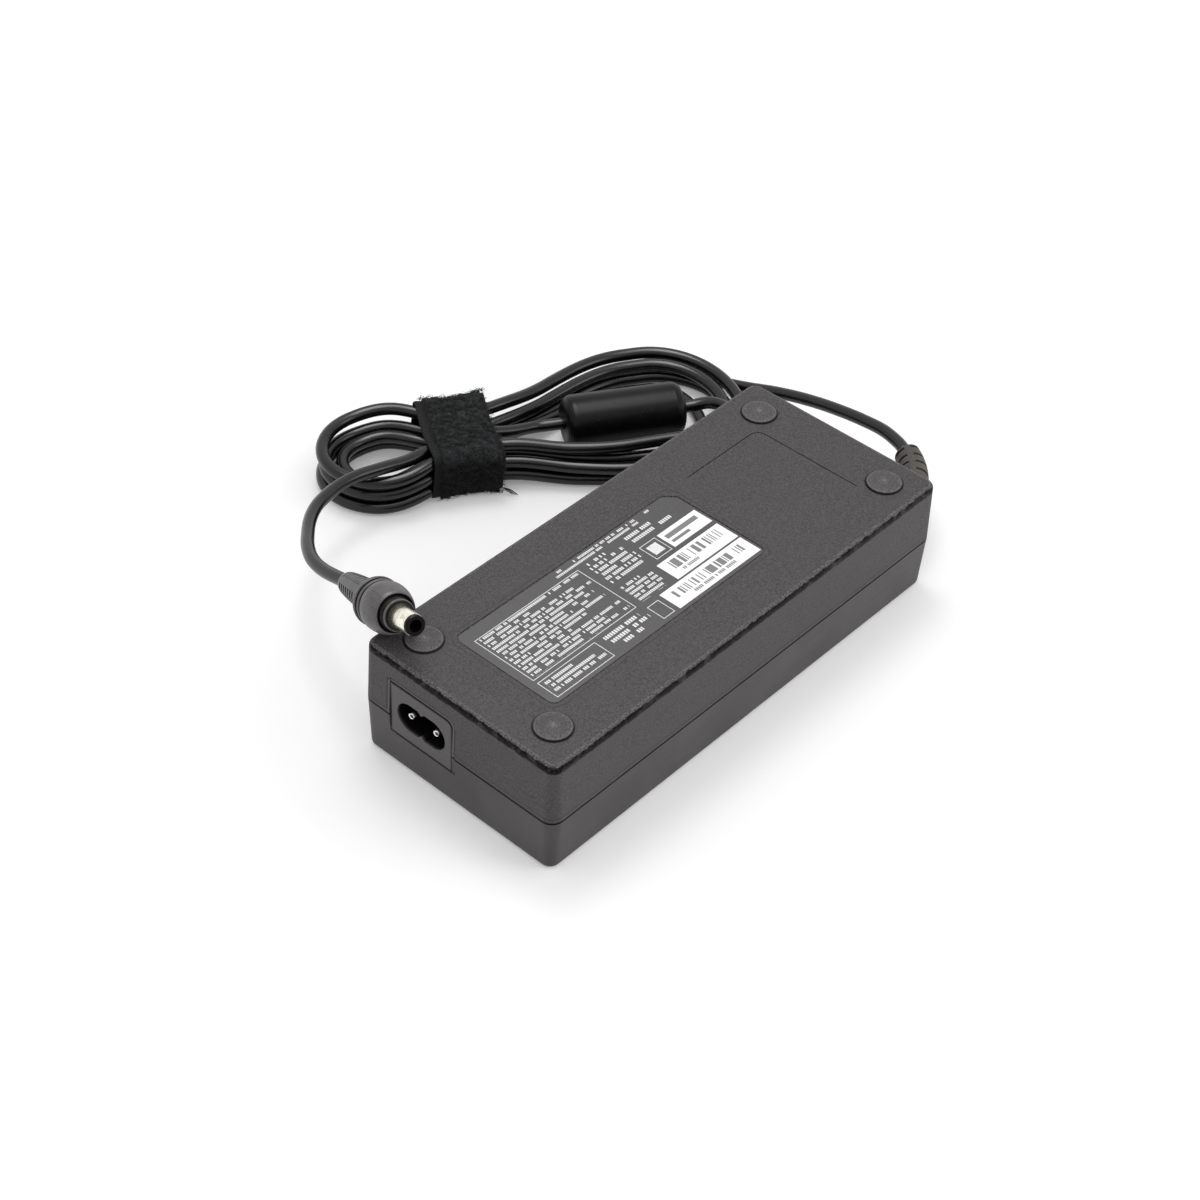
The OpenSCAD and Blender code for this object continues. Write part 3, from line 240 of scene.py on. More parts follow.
def room_of(name):
    """The middle of a CAD node's box and half its size, in millimetres along x, y and z."""
    low, high = (np.array(corner) * 1000 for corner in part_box(name))
    return np.round((low + high) / 2, 3).tolist(), np.round((high - low) / 2, 3).tolist()


def distance(u, v):
    """How far a point lies from the origin."""
    return (u * u + v * v).math("SQRT")


def beyond(u, v, half_u, half_v, corner):
    """How far a point lies outside a rectangle round the origin with rounded corners."""
    off_u = u.math("ABSOLUTE") - half_u + corner
    off_v = v.math("ABSOLUTE") - half_v + corner
    inner = off_u.math("MAXIMUM", off_v).math("MINIMUM", 0)
    return distance(off_u.math("MAXIMUM", 0), off_v.math("MAXIMUM", 0)) + inner - corner


_, (half_l, half_w, _) = room_of("upper_shell")
top_z, seam_z, edge_low = 35, 16.4, 32.5
(_, plate_y, plate_z), (_, plate_half_w, plate_half_h) = room_of("inlet_housing")
plate_flange, plate_corner, plate_big_corner = 1, 0.5, 2
(foot_x, foot_y, _), (foot_r, _, _) = room_of("foot_4")
(label_x, label_y, _), (label_half_l, label_half_w, _) = room_of("rating_label")
label_corner = 2.15


def plate_border(y, z):
    """How far a point of the end wall lies outside the inlet's plate, which has one rounder corner."""
    corner = plate_corner + (plate_big_corner - plate_corner) * (y < plate_y) * (z > plate_z)
    wide, high = plate_half_w - plate_flange, plate_half_h - plate_flange
    return beyond(y - plate_y, z - plate_z, wide, high, corner)


def from_foot(x, y):
    """How far a point lies from the axis of the foot in its quarter of the case."""
    return distance(x.math("ABSOLUTE") - foot_x, y.math("ABSOLUTE") - foot_y)


def at_corners(x, y):
    """1 on the case's rounded upright edges."""
    return (x.math("ABSOLUTE") + y.math("ABSOLUTE")).within(half_l + half_w - 3.6, half_l + half_w - 2.4)


case_paint, spot = material("case_abs")
x, y, z = (spot.part(k) * 1000 for k in range(3))
grain = spot.noise(2500, 3, 0.6)
patches = spot.noise(90, 3)
wander = z + 1.2 * (spot.noise(620, 3, 0.7) - 0.5)
# Painted shade: an uneven dark band on the lower half of the top edge's rounding, broken into patches.
edge = wander.within(edge_low, edge_low + 0.6) * (1 - wander.within(top_z - 0.65, top_z - 0.35))
wear_and_shade_patches = 0.6 * grain.within(0.3, 0.6) + 0.6 * spot.noise(400, 2).within(0.25, 0.55)
painted_edge_shade = edge * wear_and_shade_patches.math("MINIMUM", 1)
# Painted highlight: a thin light line on the upper part of the top edge's rounding.
painted_edge_highlight = wander.within(top_z - 0.5, top_z - 0.3) * (1 - z.within(top_z - 0.04, top_z - 0.005))
painted_edge_highlight = painted_edge_highlight * grain.within(0.4, 0.6)
# Painted light: the walls are made lighter than the top face.
painted_wall_light = 1 - z.within(edge_low - 0.2, edge_low + 0.5)
# Painted shade along the upper shell's edge at the seam.
painted_seam_shade = 1 - z.within(seam_z + 0.3, seam_z + 0.5)
step_line = z.within(seam_z + 1.3, seam_z + 1.5) * (1 - z.within(seam_z + 1.7, seam_z + 2))
border = plate_border(y, z)
end_wall = x < 1.5 - half_l
# Painted highlight on a thin line round the inlet's plate, and painted shade in the groove outside it.
painted_plate_highlight = end_wall * border.within(0.15, 0.3) * (1 - border.within(0.5, 0.7))
painted_groove_shade = end_wall * border.within(0.7, 0.85) * (1 - border.within(1.05, 1.3)) * (z > seam_z + 1.6)
# Painted shade in the gap round each foot's pocket.
painted_pocket_shade = (1 - from_foot(x, y).within(foot_r + 0.2, foot_r + 0.55)) * (z > top_z - 1)
# Painted shade along the edge of the label's pocket.
painted_lip_shade = beyond(x - label_x, y - label_y, label_half_l, label_half_w, label_corner)
painted_lip_shade = painted_lip_shade.within(1.4, 1.55) * (1 - painted_lip_shade.within(1.65, 1.85)) * (z > top_z - 1)
tone = grain.within(0.3, 0.7).blend(grey(49), grey(83))
tone = (0.3 * patches.within(0.3, 0.7)).blend(tone, grey(71))
tone = (0.18 * painted_wall_light).blend(tone, grey(98))
# Painted shade down the rounded upright corners.
tone = (0.2 * at_corners(x, y)).blend(tone, grey(34))
tone = (0.6 * painted_edge_highlight + 0.5 * painted_plate_highlight).blend(tone, grey(112))
tone = (0.25 * step_line + 0.6 * painted_groove_shade + 0.95 * painted_seam_shade).math("MINIMUM", 1).blend(tone, grey(14))
tone = (0.96 * painted_edge_shade).blend(tone, grey(6))
tone = (0.95 * painted_pocket_shade).blend(tone, grey(4))
tone = (0.4 * painted_lip_shade).blend(tone, grey(24))
shade(case_paint, Base_Color=tone, Roughness=0.5 + 0.16 * grain, Normal=grain.bump(0.00009, 0.9))
shade(case_paint, Metallic=0.85 * painted_edge_shade + 0.7 * painted_seam_shade, Specular_IOR_Level=0.2)
dress(case_paint, "upper_shell")

lower_paint, spot = material("case_abs_smooth")
x, y, z = (spot.part(k) * 1000 for k in range(3))
grain = spot.noise(3400, 2, 0.5)
patches = spot.noise(60, 3)
scratch = spot.stretched(25, 900, 900).noise(1, 2)
# Painted shade down the upright corners and along the lower shell's edge at the seam.
dark = 0.2 * at_corners(x, y) + 0.8 * z.within(seam_z - 0.3, seam_z - 0.1)
tone = patches.within(0.3, 0.7).blend(grey(63), grey(72))
tone = (0.1 * grain).blend(tone, grey(110))
tone = dark.math("MINIMUM", 1).blend(tone, grey(14))
shade(lower_paint, Base_Color=tone, Roughness=0.4 + 0.1 * scratch + 0.06 * grain, Specular_IOR_Level=0.28)
shade(lower_paint, Normal=(grain + 0.3 * scratch).bump(0.00001, 0.5))
dress(lower_paint, "lower_shell")

# The four feet: discs of softer grey rubber with a domed crown, moulded on their own and glued into
# pockets of the top face. Dust stays in their grain. A painted highlight ring lies near their rims and a
# painted highlight spot on the crown, with painted shade in a ring between them and at the very edge.
foot_paint, spot = material("foot_rubber")
radius = from_foot(spot.part(0) * 1000, spot.part(1) * 1000)
grain = spot.noise(2400, 3, 0.6)
dust = spot.noise(350, 4, 0.7).within(0.55, 0.75)
# Painted highlight: a pale ring near the rim and a bright spot at the crown. Painted shade: a darker ring
# between them and a dark edge at the rim.
ring = radius.within(4.2, 4.4) * (1 - radius.within(4.6, 4.75))
tone = grain.within(0.3, 0.7).blend(grey(56), grey(100))
tone = (0.25 * dust).blend(tone, grey(112))
tone = (0.35 * ring).blend(tone, grey(118))
tone = (0.3 - 0.3 * radius.within(0.3, 1.1)).blend(tone, grey(136))
tone = (0.3 * (radius.within(1.2, 2.2) - radius.within(2.8, 4))).blend(tone, grey(58))
tone = (0.85 * radius.within(foot_r - 0.18, foot_r - 0.04)).blend(tone, grey(18))
dome = 9 * (1 - (radius / foot_r).math("POWER", 2))
shade(foot_paint, Base_Color=tone, Roughness=0.55 + 0.15 * grain, Specular_IOR_Level=0.22)
shade(foot_paint, Normal=(grain + 0.4 * dust + dome).bump(0.00007))
dress(foot_paint, "foot_1", "foot_2", "foot_3", "foot_4")

# The rating label: a grey polyester film glued into its pocket and screen-printed in white. All its print
# is greeked: rows of short bars in thin frames, and white panels with plain dark bars.
label_paint, spot = material("label_film")
x, y = spot.part(0) * 1000, spot.part(1) * 1000


def area(low_x, low_y, high_x, high_y):
    """1 inside a rectangle of the label, in millimetres."""
    return (x > low_x) * (x < high_x) * (y > low_y) * (y < high_y)


def outline(low_x, low_y, high_x, high_y, line=0.2):
    """A thin printed frame."""
    inner = area(low_x + line, low_y + line, high_x - line, high_y - line)
    return area(low_x, low_y, high_x, high_y) - inner


def rows(low_x, low_y, high_x, high_y, pitch, cell, seed, fill=0.6):
    """Greeked print: each row has short upright bars in groups, and ends where chance says."""
    row = ((high_y - y) / pitch).math("FLOOR") + seed
    column = (x / cell).math("FLOOR")
    place = row.node("CombineXYZ", None, {0: column, 1: row})
    chance = place.node("TexWhiteNoise", {"noise_dimensions": "3D"}, {"Vector": place})
    groups = row.node("CombineXYZ", None, {0: column * 0.31, 1: row * 7.3}).noise(1, 0)
    row_end = row.node("TexWhiteNoise", {"noise_dimensions": "1D"}, {"W": row})
    reach = low_x + (high_x - low_x) * (0.45 + 0.75 * row_end)
    upright = (x / cell).math("FRACT") < 0.72
    height = ((high_y - y) / pitch).math("FRACT") < fill
    shown = (chance > 0.12) * (groups > 0.36) * (x < reach) * upright * height
    return shown * area(low_x, low_y, high_x, high_y)


def bars(low_x, low_y, high_x, high_y, width, seed):
    """A strip of upright bars of uneven width."""
    cell = (x / width).math("FLOOR") + seed
    chance = x.node("TexWhiteNoise", {"noise_dimensions": "1D"}, {"W": cell})
    return (chance > 0.45) * area(low_x, low_y, high_x, high_y)


ink = outline(-56.6, -7.4, -19, 12.6)
ink = ink + rows(-55.6, -6.8, -20, 12.1, 1.45, 0.56, 3)
ink = ink + outline(-56.6, -15.4, -36, -8.6) + rows(-55.4, -14.4, -37, -9.6, 1.6, 0.6, 41)
ink = ink + rows(-33.5, -15, -19, -9, 2, 0.8, 57) + rows(-16.5, 2.2, -3.5, 12.6, 1.75, 0.66, 71)
ink = ink + rows(-16.5, -7.2, -6, 0.4, 1.5, 0.6, 83) + outline(-17.4, -15.2, -13.2, -9.4)
ink = ink + rows(-25, 13.8, 19.5, 16, 1.3, 0.56, 95) + rows(-1.5, 8.8, 19.8, 12.6, 2, 0.75, 103)
ink = ink + outline(-1.6, 0.9, 4.4, 7.2) + area(-0.4, 2.2, 3.2, 5.9)
panel = area(5.4, 0.9, 20.3, 7.2) + area(-3.6, -7.9, 20.3, -0.6) + area(-11.6, -15.5, 20.3, -8.5)
dark = bars(-0.8, -4.9, 18, -1.6, 0.34, 5) + rows(0.6, -7.2, 15.5, -5.6, 1.6, 0.62, 121)
dark = dark + bars(-8.8, -12.6, 18.6, -9.8, 0.36, 60) + rows(-4, -14.9, 13, -13.2, 1.7, 0.62, 133)
dark = dark + area(6.6, 4.2, 18.6, 5.8) + area(6.6, 2.3, 13.4, 3.3)
film = spot.noise(1500, 2)
speck = spot.noise(5200, 2).within(0.26, 0.42)
tone = film.within(0.3, 0.7).blend(grey(56), grey(62))
tone = (0.95 * (ink > 0.5) * speck).blend(tone, grey(236, 0))
tone = (panel > 0.5).blend(tone, grey(250, 0))
tone = (0.85 * (panel * dark > 0.5)).blend(tone, grey(58, 0))
shade(label_paint, Base_Color=tone, Roughness=0.38 + 0.1 * film, Normal=film.bump(0.00001, 0.4))
dress(label_paint, "rating_label")

# The mains inlet: a black moulded housing whose front plate is flush with the end of the case,
# with a figure-of-eight socket and two nickel-plated pins pressed into its back wall.
(housing_x, _, _), (housing_half_l, _, _) = room_of("inlet_housing")
inlet_face = housing_x - housing_half_l
plate_paint, spot = material("inlet_plastic")
x, y, z = (spot.part(k) * 1000 for k in range(3))
# Painted shade: a dark line round the plate's edge and the dark inside of the socket.
deep = x.within(inlet_face + 0.1, inlet_face + 0.9)
grain = spot.noise(3200, 2)
tone = grain.within(0.3, 0.7).blend(grey(75), grey(86))
tone = (0.95 * plate_border(y, z).within(-0.55, -0.35)).blend(tone, grey(10))
tone = deep.blend(tone, grey(14))
shade(plate_paint, Base_Color=tone, Roughness=0.38 + 0.14 * grain, Specular_IOR_Level=0.28)
shade(plate_paint, Normal=grain.bump(0.00001, 0.5))
dress(plate_paint, "inlet_housing")

dimple_r, dimple_y, dimple_z = 0.5, -0.24, 0.18
pin_paint, spot = material("pin_nickel")
x, y, z = (spot.part(k) * 1000 for k in range(3))
brushed = spot.stretched(300, 2500, 2500).noise(1, 3)
away = []
for name in ("inlet_pin_1", "inlet_pin_2"):
    (pin_x, pin_y, pin_z), (pin_half_l, _, _) = room_of(name)
    away.append(distance(y - pin_y - dimple_y, z - pin_z - dimple_z))
# Painted shade: a dark spot in each pin's tip, and the pins' shafts behind their tips.
painted_tip_shade = 1 - away[0].math("MINIMUM", away[1]).within(dimple_r, dimple_r + 0.1)
painted_shaft_shade = x.within(pin_x - pin_half_l + 0.1, pin_x - pin_half_l + 0.45)
tone = brushed.within(0.3, 0.7).blend(colour(242, 240, 234), colour(255, 253, 248))
tone = (0.97 * painted_tip_shade.math("MAXIMUM", painted_shaft_shade)).blend(tone, grey(8))
shade(pin_paint, Base_Color=tone, Metallic=1, Roughness=0.16 + 0.1 * brushed)
shade(pin_paint, Normal=brushed.bump(0.00001, 0.1))
dress(pin_paint, "inlet_pin_1", "inlet_pin_2")

# The circuit board: green lacquer over copper tracks on glass-fibre laminate, with tinned joints.
# It is clamped between the upper shell's posts and the lower shell's columns.
board_paint, spot = material("board_laminate")
tracks = (spot.stretched(260, 90, 1).noise(1, 1) - 0.5).math("ABSOLUTE") < 0.05
holes = spot.node("TexVoronoi", {"voronoi_dimensions": "2D"}, {"Vector": spot, "Scale": 230}) < 0.22
weave = spot.noise(4000, 2)
tone = weave.blend(colour(30, 66, 42), colour(38, 82, 52))
tone = tracks.blend(tone, colour(58, 112, 70))
tone = holes.blend(tone, colour(176, 176, 170))
shade(board_paint, Base_Color=tone, Metallic=0.8 * holes, Roughness=0.35 + 0.15 * weave)
shade(board_paint, Normal=(tracks + holes).bump(0.00004, 0.5))
dress(board_paint, "circuit_board")


# Above the board lies a sheet of milky insulating polyester, cut flat, and below it, on the case's floor,
# a shield of rolled tinplate.
def mottled(name, dark, light, scale, rough, height, *dressed, metal=0, gloss=0.5):
    """A plain material whose colour, gloss and relief all follow one fine noise."""
    made, spot = material(name)
    grain = spot.noise(scale, 3, 0.6)
    spots = spot.noise(scale / 9, 3)
    tone = (0.7 * grain.within(0.25, 0.75) + 0.3 * spots.within(0.3, 0.7)).blend(dark, light)
    shade(made, Base_Color=tone, Roughness=rough + 0.2 * grain, Normal=grain.bump(height, 0.6))
    shade(made, Metallic=metal, Specular_IOR_Level=gloss)
    dress(made, *dressed)


milky = (colour(198, 194, 180), colour(216, 212, 198))
mottled("sheet_polyester", *milky, 500, 0.3, 0.00003, "insulating_sheet")
shield_paint, spot = material("shield_tinplate")
rolled = spot.stretched(30, 2400, 300).noise(1, 4, 0.6)
tone = rolled.within(0.3, 0.7).blend(colour(150, 151, 150), colour(186, 187, 186))
shade(shield_paint, Base_Color=tone, Metallic=1, Roughness=0.28 + 0.2 * rolled)
shade(shield_paint, Normal=rolled.bump(0.00002, 0.4))
dress(shield_paint, "shield_plate")

# The wires inside: brown and blue to the inlet, black and white to the cord. Each is stranded copper in
# an extruded PVC sheath, soldered to the board, and the two of a pair lie on either side of its middle.
for name, middle_y, first, second in (
    ("inlet_wires", 12, colour(96, 56, 38), colour(48, 72, 138)),
    ("output_wires", -5.5, grey(30), colour(206, 204, 198)),
):
    wire_paint, spot = material(name + "_pvc")
    wear_and_shade_patches = spot.noise(1200, 3)
    tone = (spot.part(1) * 1000 > middle_y).blend(first, second)
    tone = (0.15 * wear_and_shade_patches).blend(tone, grey(150, 0))
    shade(wire_paint, Base_Color=tone, Roughness=0.35 + 0.2 * wear_and_shade_patches, Normal=wear_and_shade_patches.bump(0.00003, 0.5))
    dress(wire_paint, name)

# The capacitors: blue lacquered discs, a yellow film box, and aluminium cans in sleeves of shrunk plastic,
# each with a pale stripe on one side. The tops of the cans that stand are bare. All are soldered in.
lacquer = (colour(34, 62, 128), colour(48, 80, 152))
mottled("disc_lacquer", *lacquer, 900, 0.2, 0.00008, "varistor", "y_capacitor")
box_yellow = (colour(196, 158, 40), colour(212, 174, 56))
mottled("film_box", *box_yellow, 2600, 0.35, 0.00002, "film_capacitor")
for name in ("bulk_capacitor", "output_capacitor_1", "output_capacitor_2", "output_capacitor_3"):
    can_paint, spot = material(name + "_sleeve")
    at, half = room_of(name)
    top = at[2] + half[2]
    x, y, z = (spot.part(k) * 1000 for k in range(3))
    lying = name == "bulk_capacitor"
    stripe = (x - at[0]).math("ABSOLUTE") < (2 if lying else 1)
    stripe = stripe * ((z > at[2]) if lying else (y < at[1]))
    shrink = spot.noise(700, 3)
    bare = 0 * z if lying else z.within(top - 0.12, top - 0.04)
    tone = shrink.blend(colour(24, 30, 50), colour(34, 42, 66))
    tone = stripe.blend(tone, colour(150, 156, 168))
    tone = bare.blend(tone, colour(200, 200, 198))
    shade(can_paint, Base_Color=tone, Metallic=bare, Roughness=0.25 + 0.2 * shrink)
    shade(can_paint, Normal=shrink.bump(0.00006, 0.5))
    dress(can_paint, name)

# The chokes: ring cores in green and yellow powder coat, wound by hand with enamelled copper wire.
# One stands on the board and the other lies, and each strand shows as a stripe round its ring.
green, yellow = (colour(30, 84, 58), colour(42, 102, 72)), (colour(188, 158, 52), colour(204, 174, 66))
mottled("core_green", *green, 1500, 0.4, 0.00005, "choke_core")
mottled("core_yellow", *yellow, 1500, 0.4, 0.00005, "boost_core")
for name, turns in (("choke_winding", 64), ("boost_winding", 90)):
    wire_paint, spot = material(name + "_copper")
    at, _ = room_of(name)
    x, y, z = (spot.part(k) * 1000 for k in range(3))
    upright = name == "choke_winding"
    angle = (z - at[2] if upright else y - at[1]).math("ARCTAN2", x - at[0])
    strand = (angle * turns).math("SINE")
    enamel = spot.noise(1600, 2)
    tone = strand.within(-1, 0.4).blend(colour(74, 34, 16), colour(176, 98, 50))
    shade(wire_paint, Base_Color=tone, Metallic=0.85, Roughness=0.25 + 0.15 * enamel)
    shade(wire_paint, Normal=strand.bump(0.0001, 0.6))
    dress(wire_paint, name)

# The transformer: a sintered ferrite core round a coil wrapped in yellow polyester tape.
# The cord's ferrite sleeve is of the same sintered stone.
mottled("ferrite_stone", grey(40), grey(58), 1800, 0.55, 0.00005, "transformer_core", "ferrite_sleeve")
tape_pitch = 3.2
tape_paint, spot = material("tape_polyester")
wrap = (spot.part(2) * 1000 / tape_pitch + 0.1 * spot.noise(60, 1)).math("FRACT")
film = spot.noise(900, 3)
tone = film.blend(colour(190, 152, 44), colour(214, 178, 66))
tone = (0.5 * (wrap < 0.08)).blend(tone, colour(110, 84, 24))
shade(tape_paint, Base_Color=tone, Roughness=0.25 + 0.2 * film)
shade(tape_paint, Normal=(wrap + 0.4 * film).bump(0.00006, 0.5))
dress(tape_paint, "transformer_winding")

# The heat sinks are mill-finished aluminium, their screws zinc-plated steel, and the devices on them
# and the small parts on the board are moulded in black epoxy.
sink_paint, spot = material("sink_aluminium")
drawn = spot.stretched(40, 1800, 1800).noise(1, 4, 0.6)
tone = drawn.within(0.3, 0.7).blend(colour(148, 149, 152), colour(184, 185, 188))
shade(sink_paint, Base_Color=tone, Metallic=1, Roughness=0.3 + 0.2 * drawn)
shade(sink_paint, Normal=drawn.bump(0.00003, 0.5))
dress(sink_paint, "primary_heat_sink", "secondary_heat_sink")
zinc = (colour(158, 156, 140), colour(192, 190, 172))
mottled("screw_zinc", *zinc, 1800, 0.25, 0.00002, "heat_sink_screws", metal=1)
moulded = (
    "fuse", "optocoupler", "control_chip", "output_choke", "bridge_rectifier", "pfc_switch", "main_switch",
    "output_rectifier",
)
mottled("epoxy_black", grey(24), grey(34), 2600, 0.45, 0.00003, *moulded)

# The DC cord: a round black PVC lead of 1.7 m, extruded over its wires. It leaves the case through the
# strain relief and runs behind the case into a hank of almost five loops, then through the ferrite core
# and out to the plug. From here on lengths are in millimetres, and the points are the solid cord's own.
mm = 0.001
cord_d = 3.7
relief_end = np.array((100.349, -5.5, 16.4))
relief_dir = np.array((0.5, 0.866, 0))
boot_end = np.array((-62.785, 49.189, 34.192))
plug_dir = np.array((0.265442, 0.890409, -0.369747))
hank_turn = math.radians(-32.5)
hank_e = np.array((math.cos(hank_turn), math.sin(hank_turn), 0))
hank_n = np.array((-hank_e[1], hank_e[0], 0))
hank_at = np.array((20.5, 92, 0))
hank_low, hank_layer = 2.1, 4.4
hank_lift, lift_from, lift_end = 1.5, 30, 12
hank_start, hank_end = -0.125, 4.625
left_at, left_r = (-22.5, 1.2), (14.7, 13.2)
right_at, right_r = (62, 7.5), (17, 21)
waist_far, waist_near = 6.6, -5.6
far_from, far_flare = 1, 56
near_from, near_flare = 2, 45
left_flare_from, left_flare = -3.5, 19
hank_out = np.array((
    5.2, 4.6, 3.9, 3.4, 2.9, 2.3, 3, 4.6, 0.9, 0.3, -0.6, -1.1, -1.7, -2.3, -2.6, -5.6,
    -5.2, -3.5, -3.1, -2.4, -2.3, -2.3, 0, 1.6, 1.2, 0.5, 1.5, 2.6, 2.6, 2.3, 5, 6.6,
    7.4, 4.5, 3.8, 3.2, 2.9, -0.2, -1.6,
))
core_n, core_z = 5.2, 8


def step(t):
    """A smooth step from 0 to 1: 3 t^2 - 2 t^3."""
    t = np.clip(t, 0, 1)
    return t * t * (3 - 2 * t)


def slope(t):
    """The slope of the smooth step: 6 t (1 - t)."""
    t = np.clip(t, 0, 1)
    return 6 * t * (1 - t)


def hank_place(s, n, z):
    """A point s along the hank, n across it and z above the ground."""
    s, n, z = (np.asarray(v, float)[..., None] for v in (s, n, z))
    return hank_at + s * hank_e + n * hank_n + z * np.array((0, 0, 1))


def run(s, waist, side, out, start, flare):
    """How far from the hank's axis a run lies at s: its waist, a smooth flare towards each bend, and out,
    measured square to the run."""
    right = right_at[1] + side * right_r[1] - waist
    left = left_at[1] + side * left_r[1] - waist
    inward = (left_flare_from - s) / left_flare
    across = waist + right * step((s - start) / flare) + left * step(inward)
    rise = right * slope((s - start) / flare) / flare - left * slope(inward) / left_flare
    return across + side * out * np.sqrt(1 + rise * rise)


def hank(u):
    """The hank's centre line, u counting its loops. A quarter of a loop is a run or a bend, hank_out
    says at eight stops a loop how far outside it lies, and it climbs a layer at the second and fourth."""
    quarter = (u + 0.125) % 1 * 4
    level = step((u - 2) * 4 + 0.5) + step((u - 4) * 4 + 0.5)
    stop = (u - hank_start) * 8
    before = np.minimum(stop.astype(int), len(hank_out) - 2)
    out = hank_out[before] + (hank_out[before + 1] - hank_out[before]) * step(stop - before)
    turn = np.pi * (quarter % 1)
    length = right_at[0] - left_at[0]
    along = [
        right_at[0] - length * quarter,
        left_at[0] - (left_r[0] + out) * np.sin(turn),
        left_at[0] + length * (quarter - 2),
        right_at[0] + (right_r[0] + out) * np.sin(turn),
    ]
    across = [
        run(along[0], waist_far, 1, out, far_from, far_flare),
        left_at[1] + (left_r[1] + out) * np.cos(turn),
        run(along[2], waist_near, -1, out, near_from, near_flare),
        right_at[1] - (right_r[1] + out) * np.cos(turn),
    ]
    kind = quarter.astype(int)
    s, n = np.choose(kind, along), np.choose(kind, across)
    lift = hank_lift * step((lift_from - np.abs(s)) / (lift_from - lift_end))
    return hank_place(s, n, hank_low + lift + hank_layer * level)


def curve(points, steps=8):
    """A smooth curve through points: each stretch is the cubic whose ends have their neighbours' slopes."""
    p = np.asarray(points, float)
    t = np.arange(steps)[:, None, None] / steps
    a, b, c, d = p[:-3], p[1:-2], p[2:-1], p[3:]
    line = 2 * b + (c - a) * t + (2 * a - 5 * b + 4 * c - d) * t**2 + (3 * b - a - 3 * c + d) * t**3
    return np.concatenate([p[:1], (line / 2).transpose(1, 0, 2).reshape(-1, 3), p[-2:]])


def even(line, gap):
    """The same line with its points an even gap apart."""
    length = np.concatenate([[0], np.cumsum(np.linalg.norm(np.diff(line, axis=0), axis=1))])
    at = np.linspace(0, length[-1], int(length[-1] / gap))
    return np.stack([np.interp(at, length, line[:, k]) for k in range(3)], axis=1)


def frames(line):
    """Two directions across a line at each point, turned as little as can be from one to the next."""
    along = np.gradient(line, axis=0)
    along /= np.linalg.norm(along, axis=1)[:, None]
    side = np.cross(along[0], (0, 0, 1))
    sides = []
    for direction in along:
        side = side - direction * (side @ direction)
        side /= np.linalg.norm(side)
        sides.append(side)
    sides = np.array(sides)
    return sides, np.cross(sides, along)


def skin(name, places, x, y, radius, angles, made, painted_deep_shade=None):
    """A closed round body: rings of points place + radius (x cos angle + y sin angle), with a flat end on
    the first and the last. Its UV map runs round it and along it, in metres, and its attribute marks what
    lies deep, where painted shade darkens it."""
    ring = np.cos(angles)[:, None, None] * x + np.sin(angles)[:, None, None] * y
    points = places[:, None] + radius[:, :, None] * ring.transpose(1, 0, 2)
    rows, sides = radius.shape
    i, k = np.meshgrid(np.arange(rows - 1), np.arange(sides), indexing="ij")
    m = (k + 1) % sides
    quads = np.stack([i * sides + k, (i + 1) * sides + k, (i + 1) * sides + m, i * sides + m], -1)
    ends = [list(range(sides)), list(range(rows * sides - 1, (rows - 1) * sides - 1, -1))]
    built = piece(name, points, quads.reshape(-1, 4).tolist() + ends, made)
    mesh = built.data
    length = np.concatenate([[0], np.cumsum(np.linalg.norm(np.diff(places, axis=0), axis=1))])
    turn = np.append(angles, angles[0] + 2 * np.pi) * radius.mean()
    turn_at = np.stack([turn[k], turn[k], turn[k + 1], turn[k + 1]], -1)
    along_at = np.stack([length[i], length[i + 1], length[i + 1], length[i]], -1)
    uv = np.concatenate([np.stack([turn_at, along_at], -1).reshape(-1, 2), np.zeros((2 * sides, 2))])
    mesh.uv_layers.new(name="along").data.foreach_set("uv", uv.ravel())
    if painted_deep_shade is not None:
        mesh.attributes.new("painted_deep_shade", "FLOAT", "POINT").data.foreach_set("value", painted_deep_shade.ravel())
    return built


def tube(name, line, radius, sides, made):
    """A round tube of that radius along a line."""
    x, y = frames(line)
    angles = 2 * np.pi * np.arange(sides) / sides
    return skin(name, line, x, y, np.full((len(line), sides), radius), angles, made)


hank_line = hank(np.linspace(hank_start, hank_end, 900))
lead_end = hank_line[0] + cord_d * hank_e
tail_start = hank_line[-1] + cord_d * hank_e
lead_points = [
    relief_end, relief_end + cord_d * relief_dir,
    (104.6, 5.5, 16), (105.9, 14.6, 14.5), (106.8, 23.5, 12.6), (107.4, 31.5, 10.6), (107.6, 39.5, 8.4),
    (107.2, 47.5, 6.1), (106.1, 55.5, 3.8), (104.6, 63, 2.3), (103, 70, 2.1), (101.1, 76.8, 2.1),
    lead_end + cord_d * hank_e, lead_end,
]
tail_points = [
    tail_start, tail_start + cord_d * hank_e,
    *hank_place((74.9, 78.3, 78.2, 74.8), (-10.6, -6.2, -0.6, 3.7), (10.9, 10.9, 10.8, 9.6)),
    *hank_place((69.4, 61, 52.5, 44, 36, 28.5, 22.5), core_n, core_z),
    *hank_place((14.5, 6, -3), (2.3, 0.2, -2.1), (9.9, 12.1, 12.6)),
    *hank_place((-11, -18.5, -26.3), (-5, -9.4, -13.3), (12.8, 13.6, 15.4)),
    (-16.9, 96.1, 16.6), (-23.7, 96, 17.3), (-30.3, 94.5, 18.1), (-36.1, 92.2, 19), (-41.9, 88.2, 20.2),
    (-47.5, 82.9, 21.8), (-52.6, 77.2, 23.8), (-56.9, 70.5, 26), (-59.6, 62.9, 28.6),
    boot_end + cord_d * plug_dir, boot_end,
]
ring_gap, cord_sides = 1.6, 16
cord_line = even(np.concatenate([curve(lead_points), hank_line, curve(tail_points)]), ring_gap) * mm
cord_paint, spot = material("cord_pvc")
uv = spot.node("UVMap", {"uv_map": "along"})
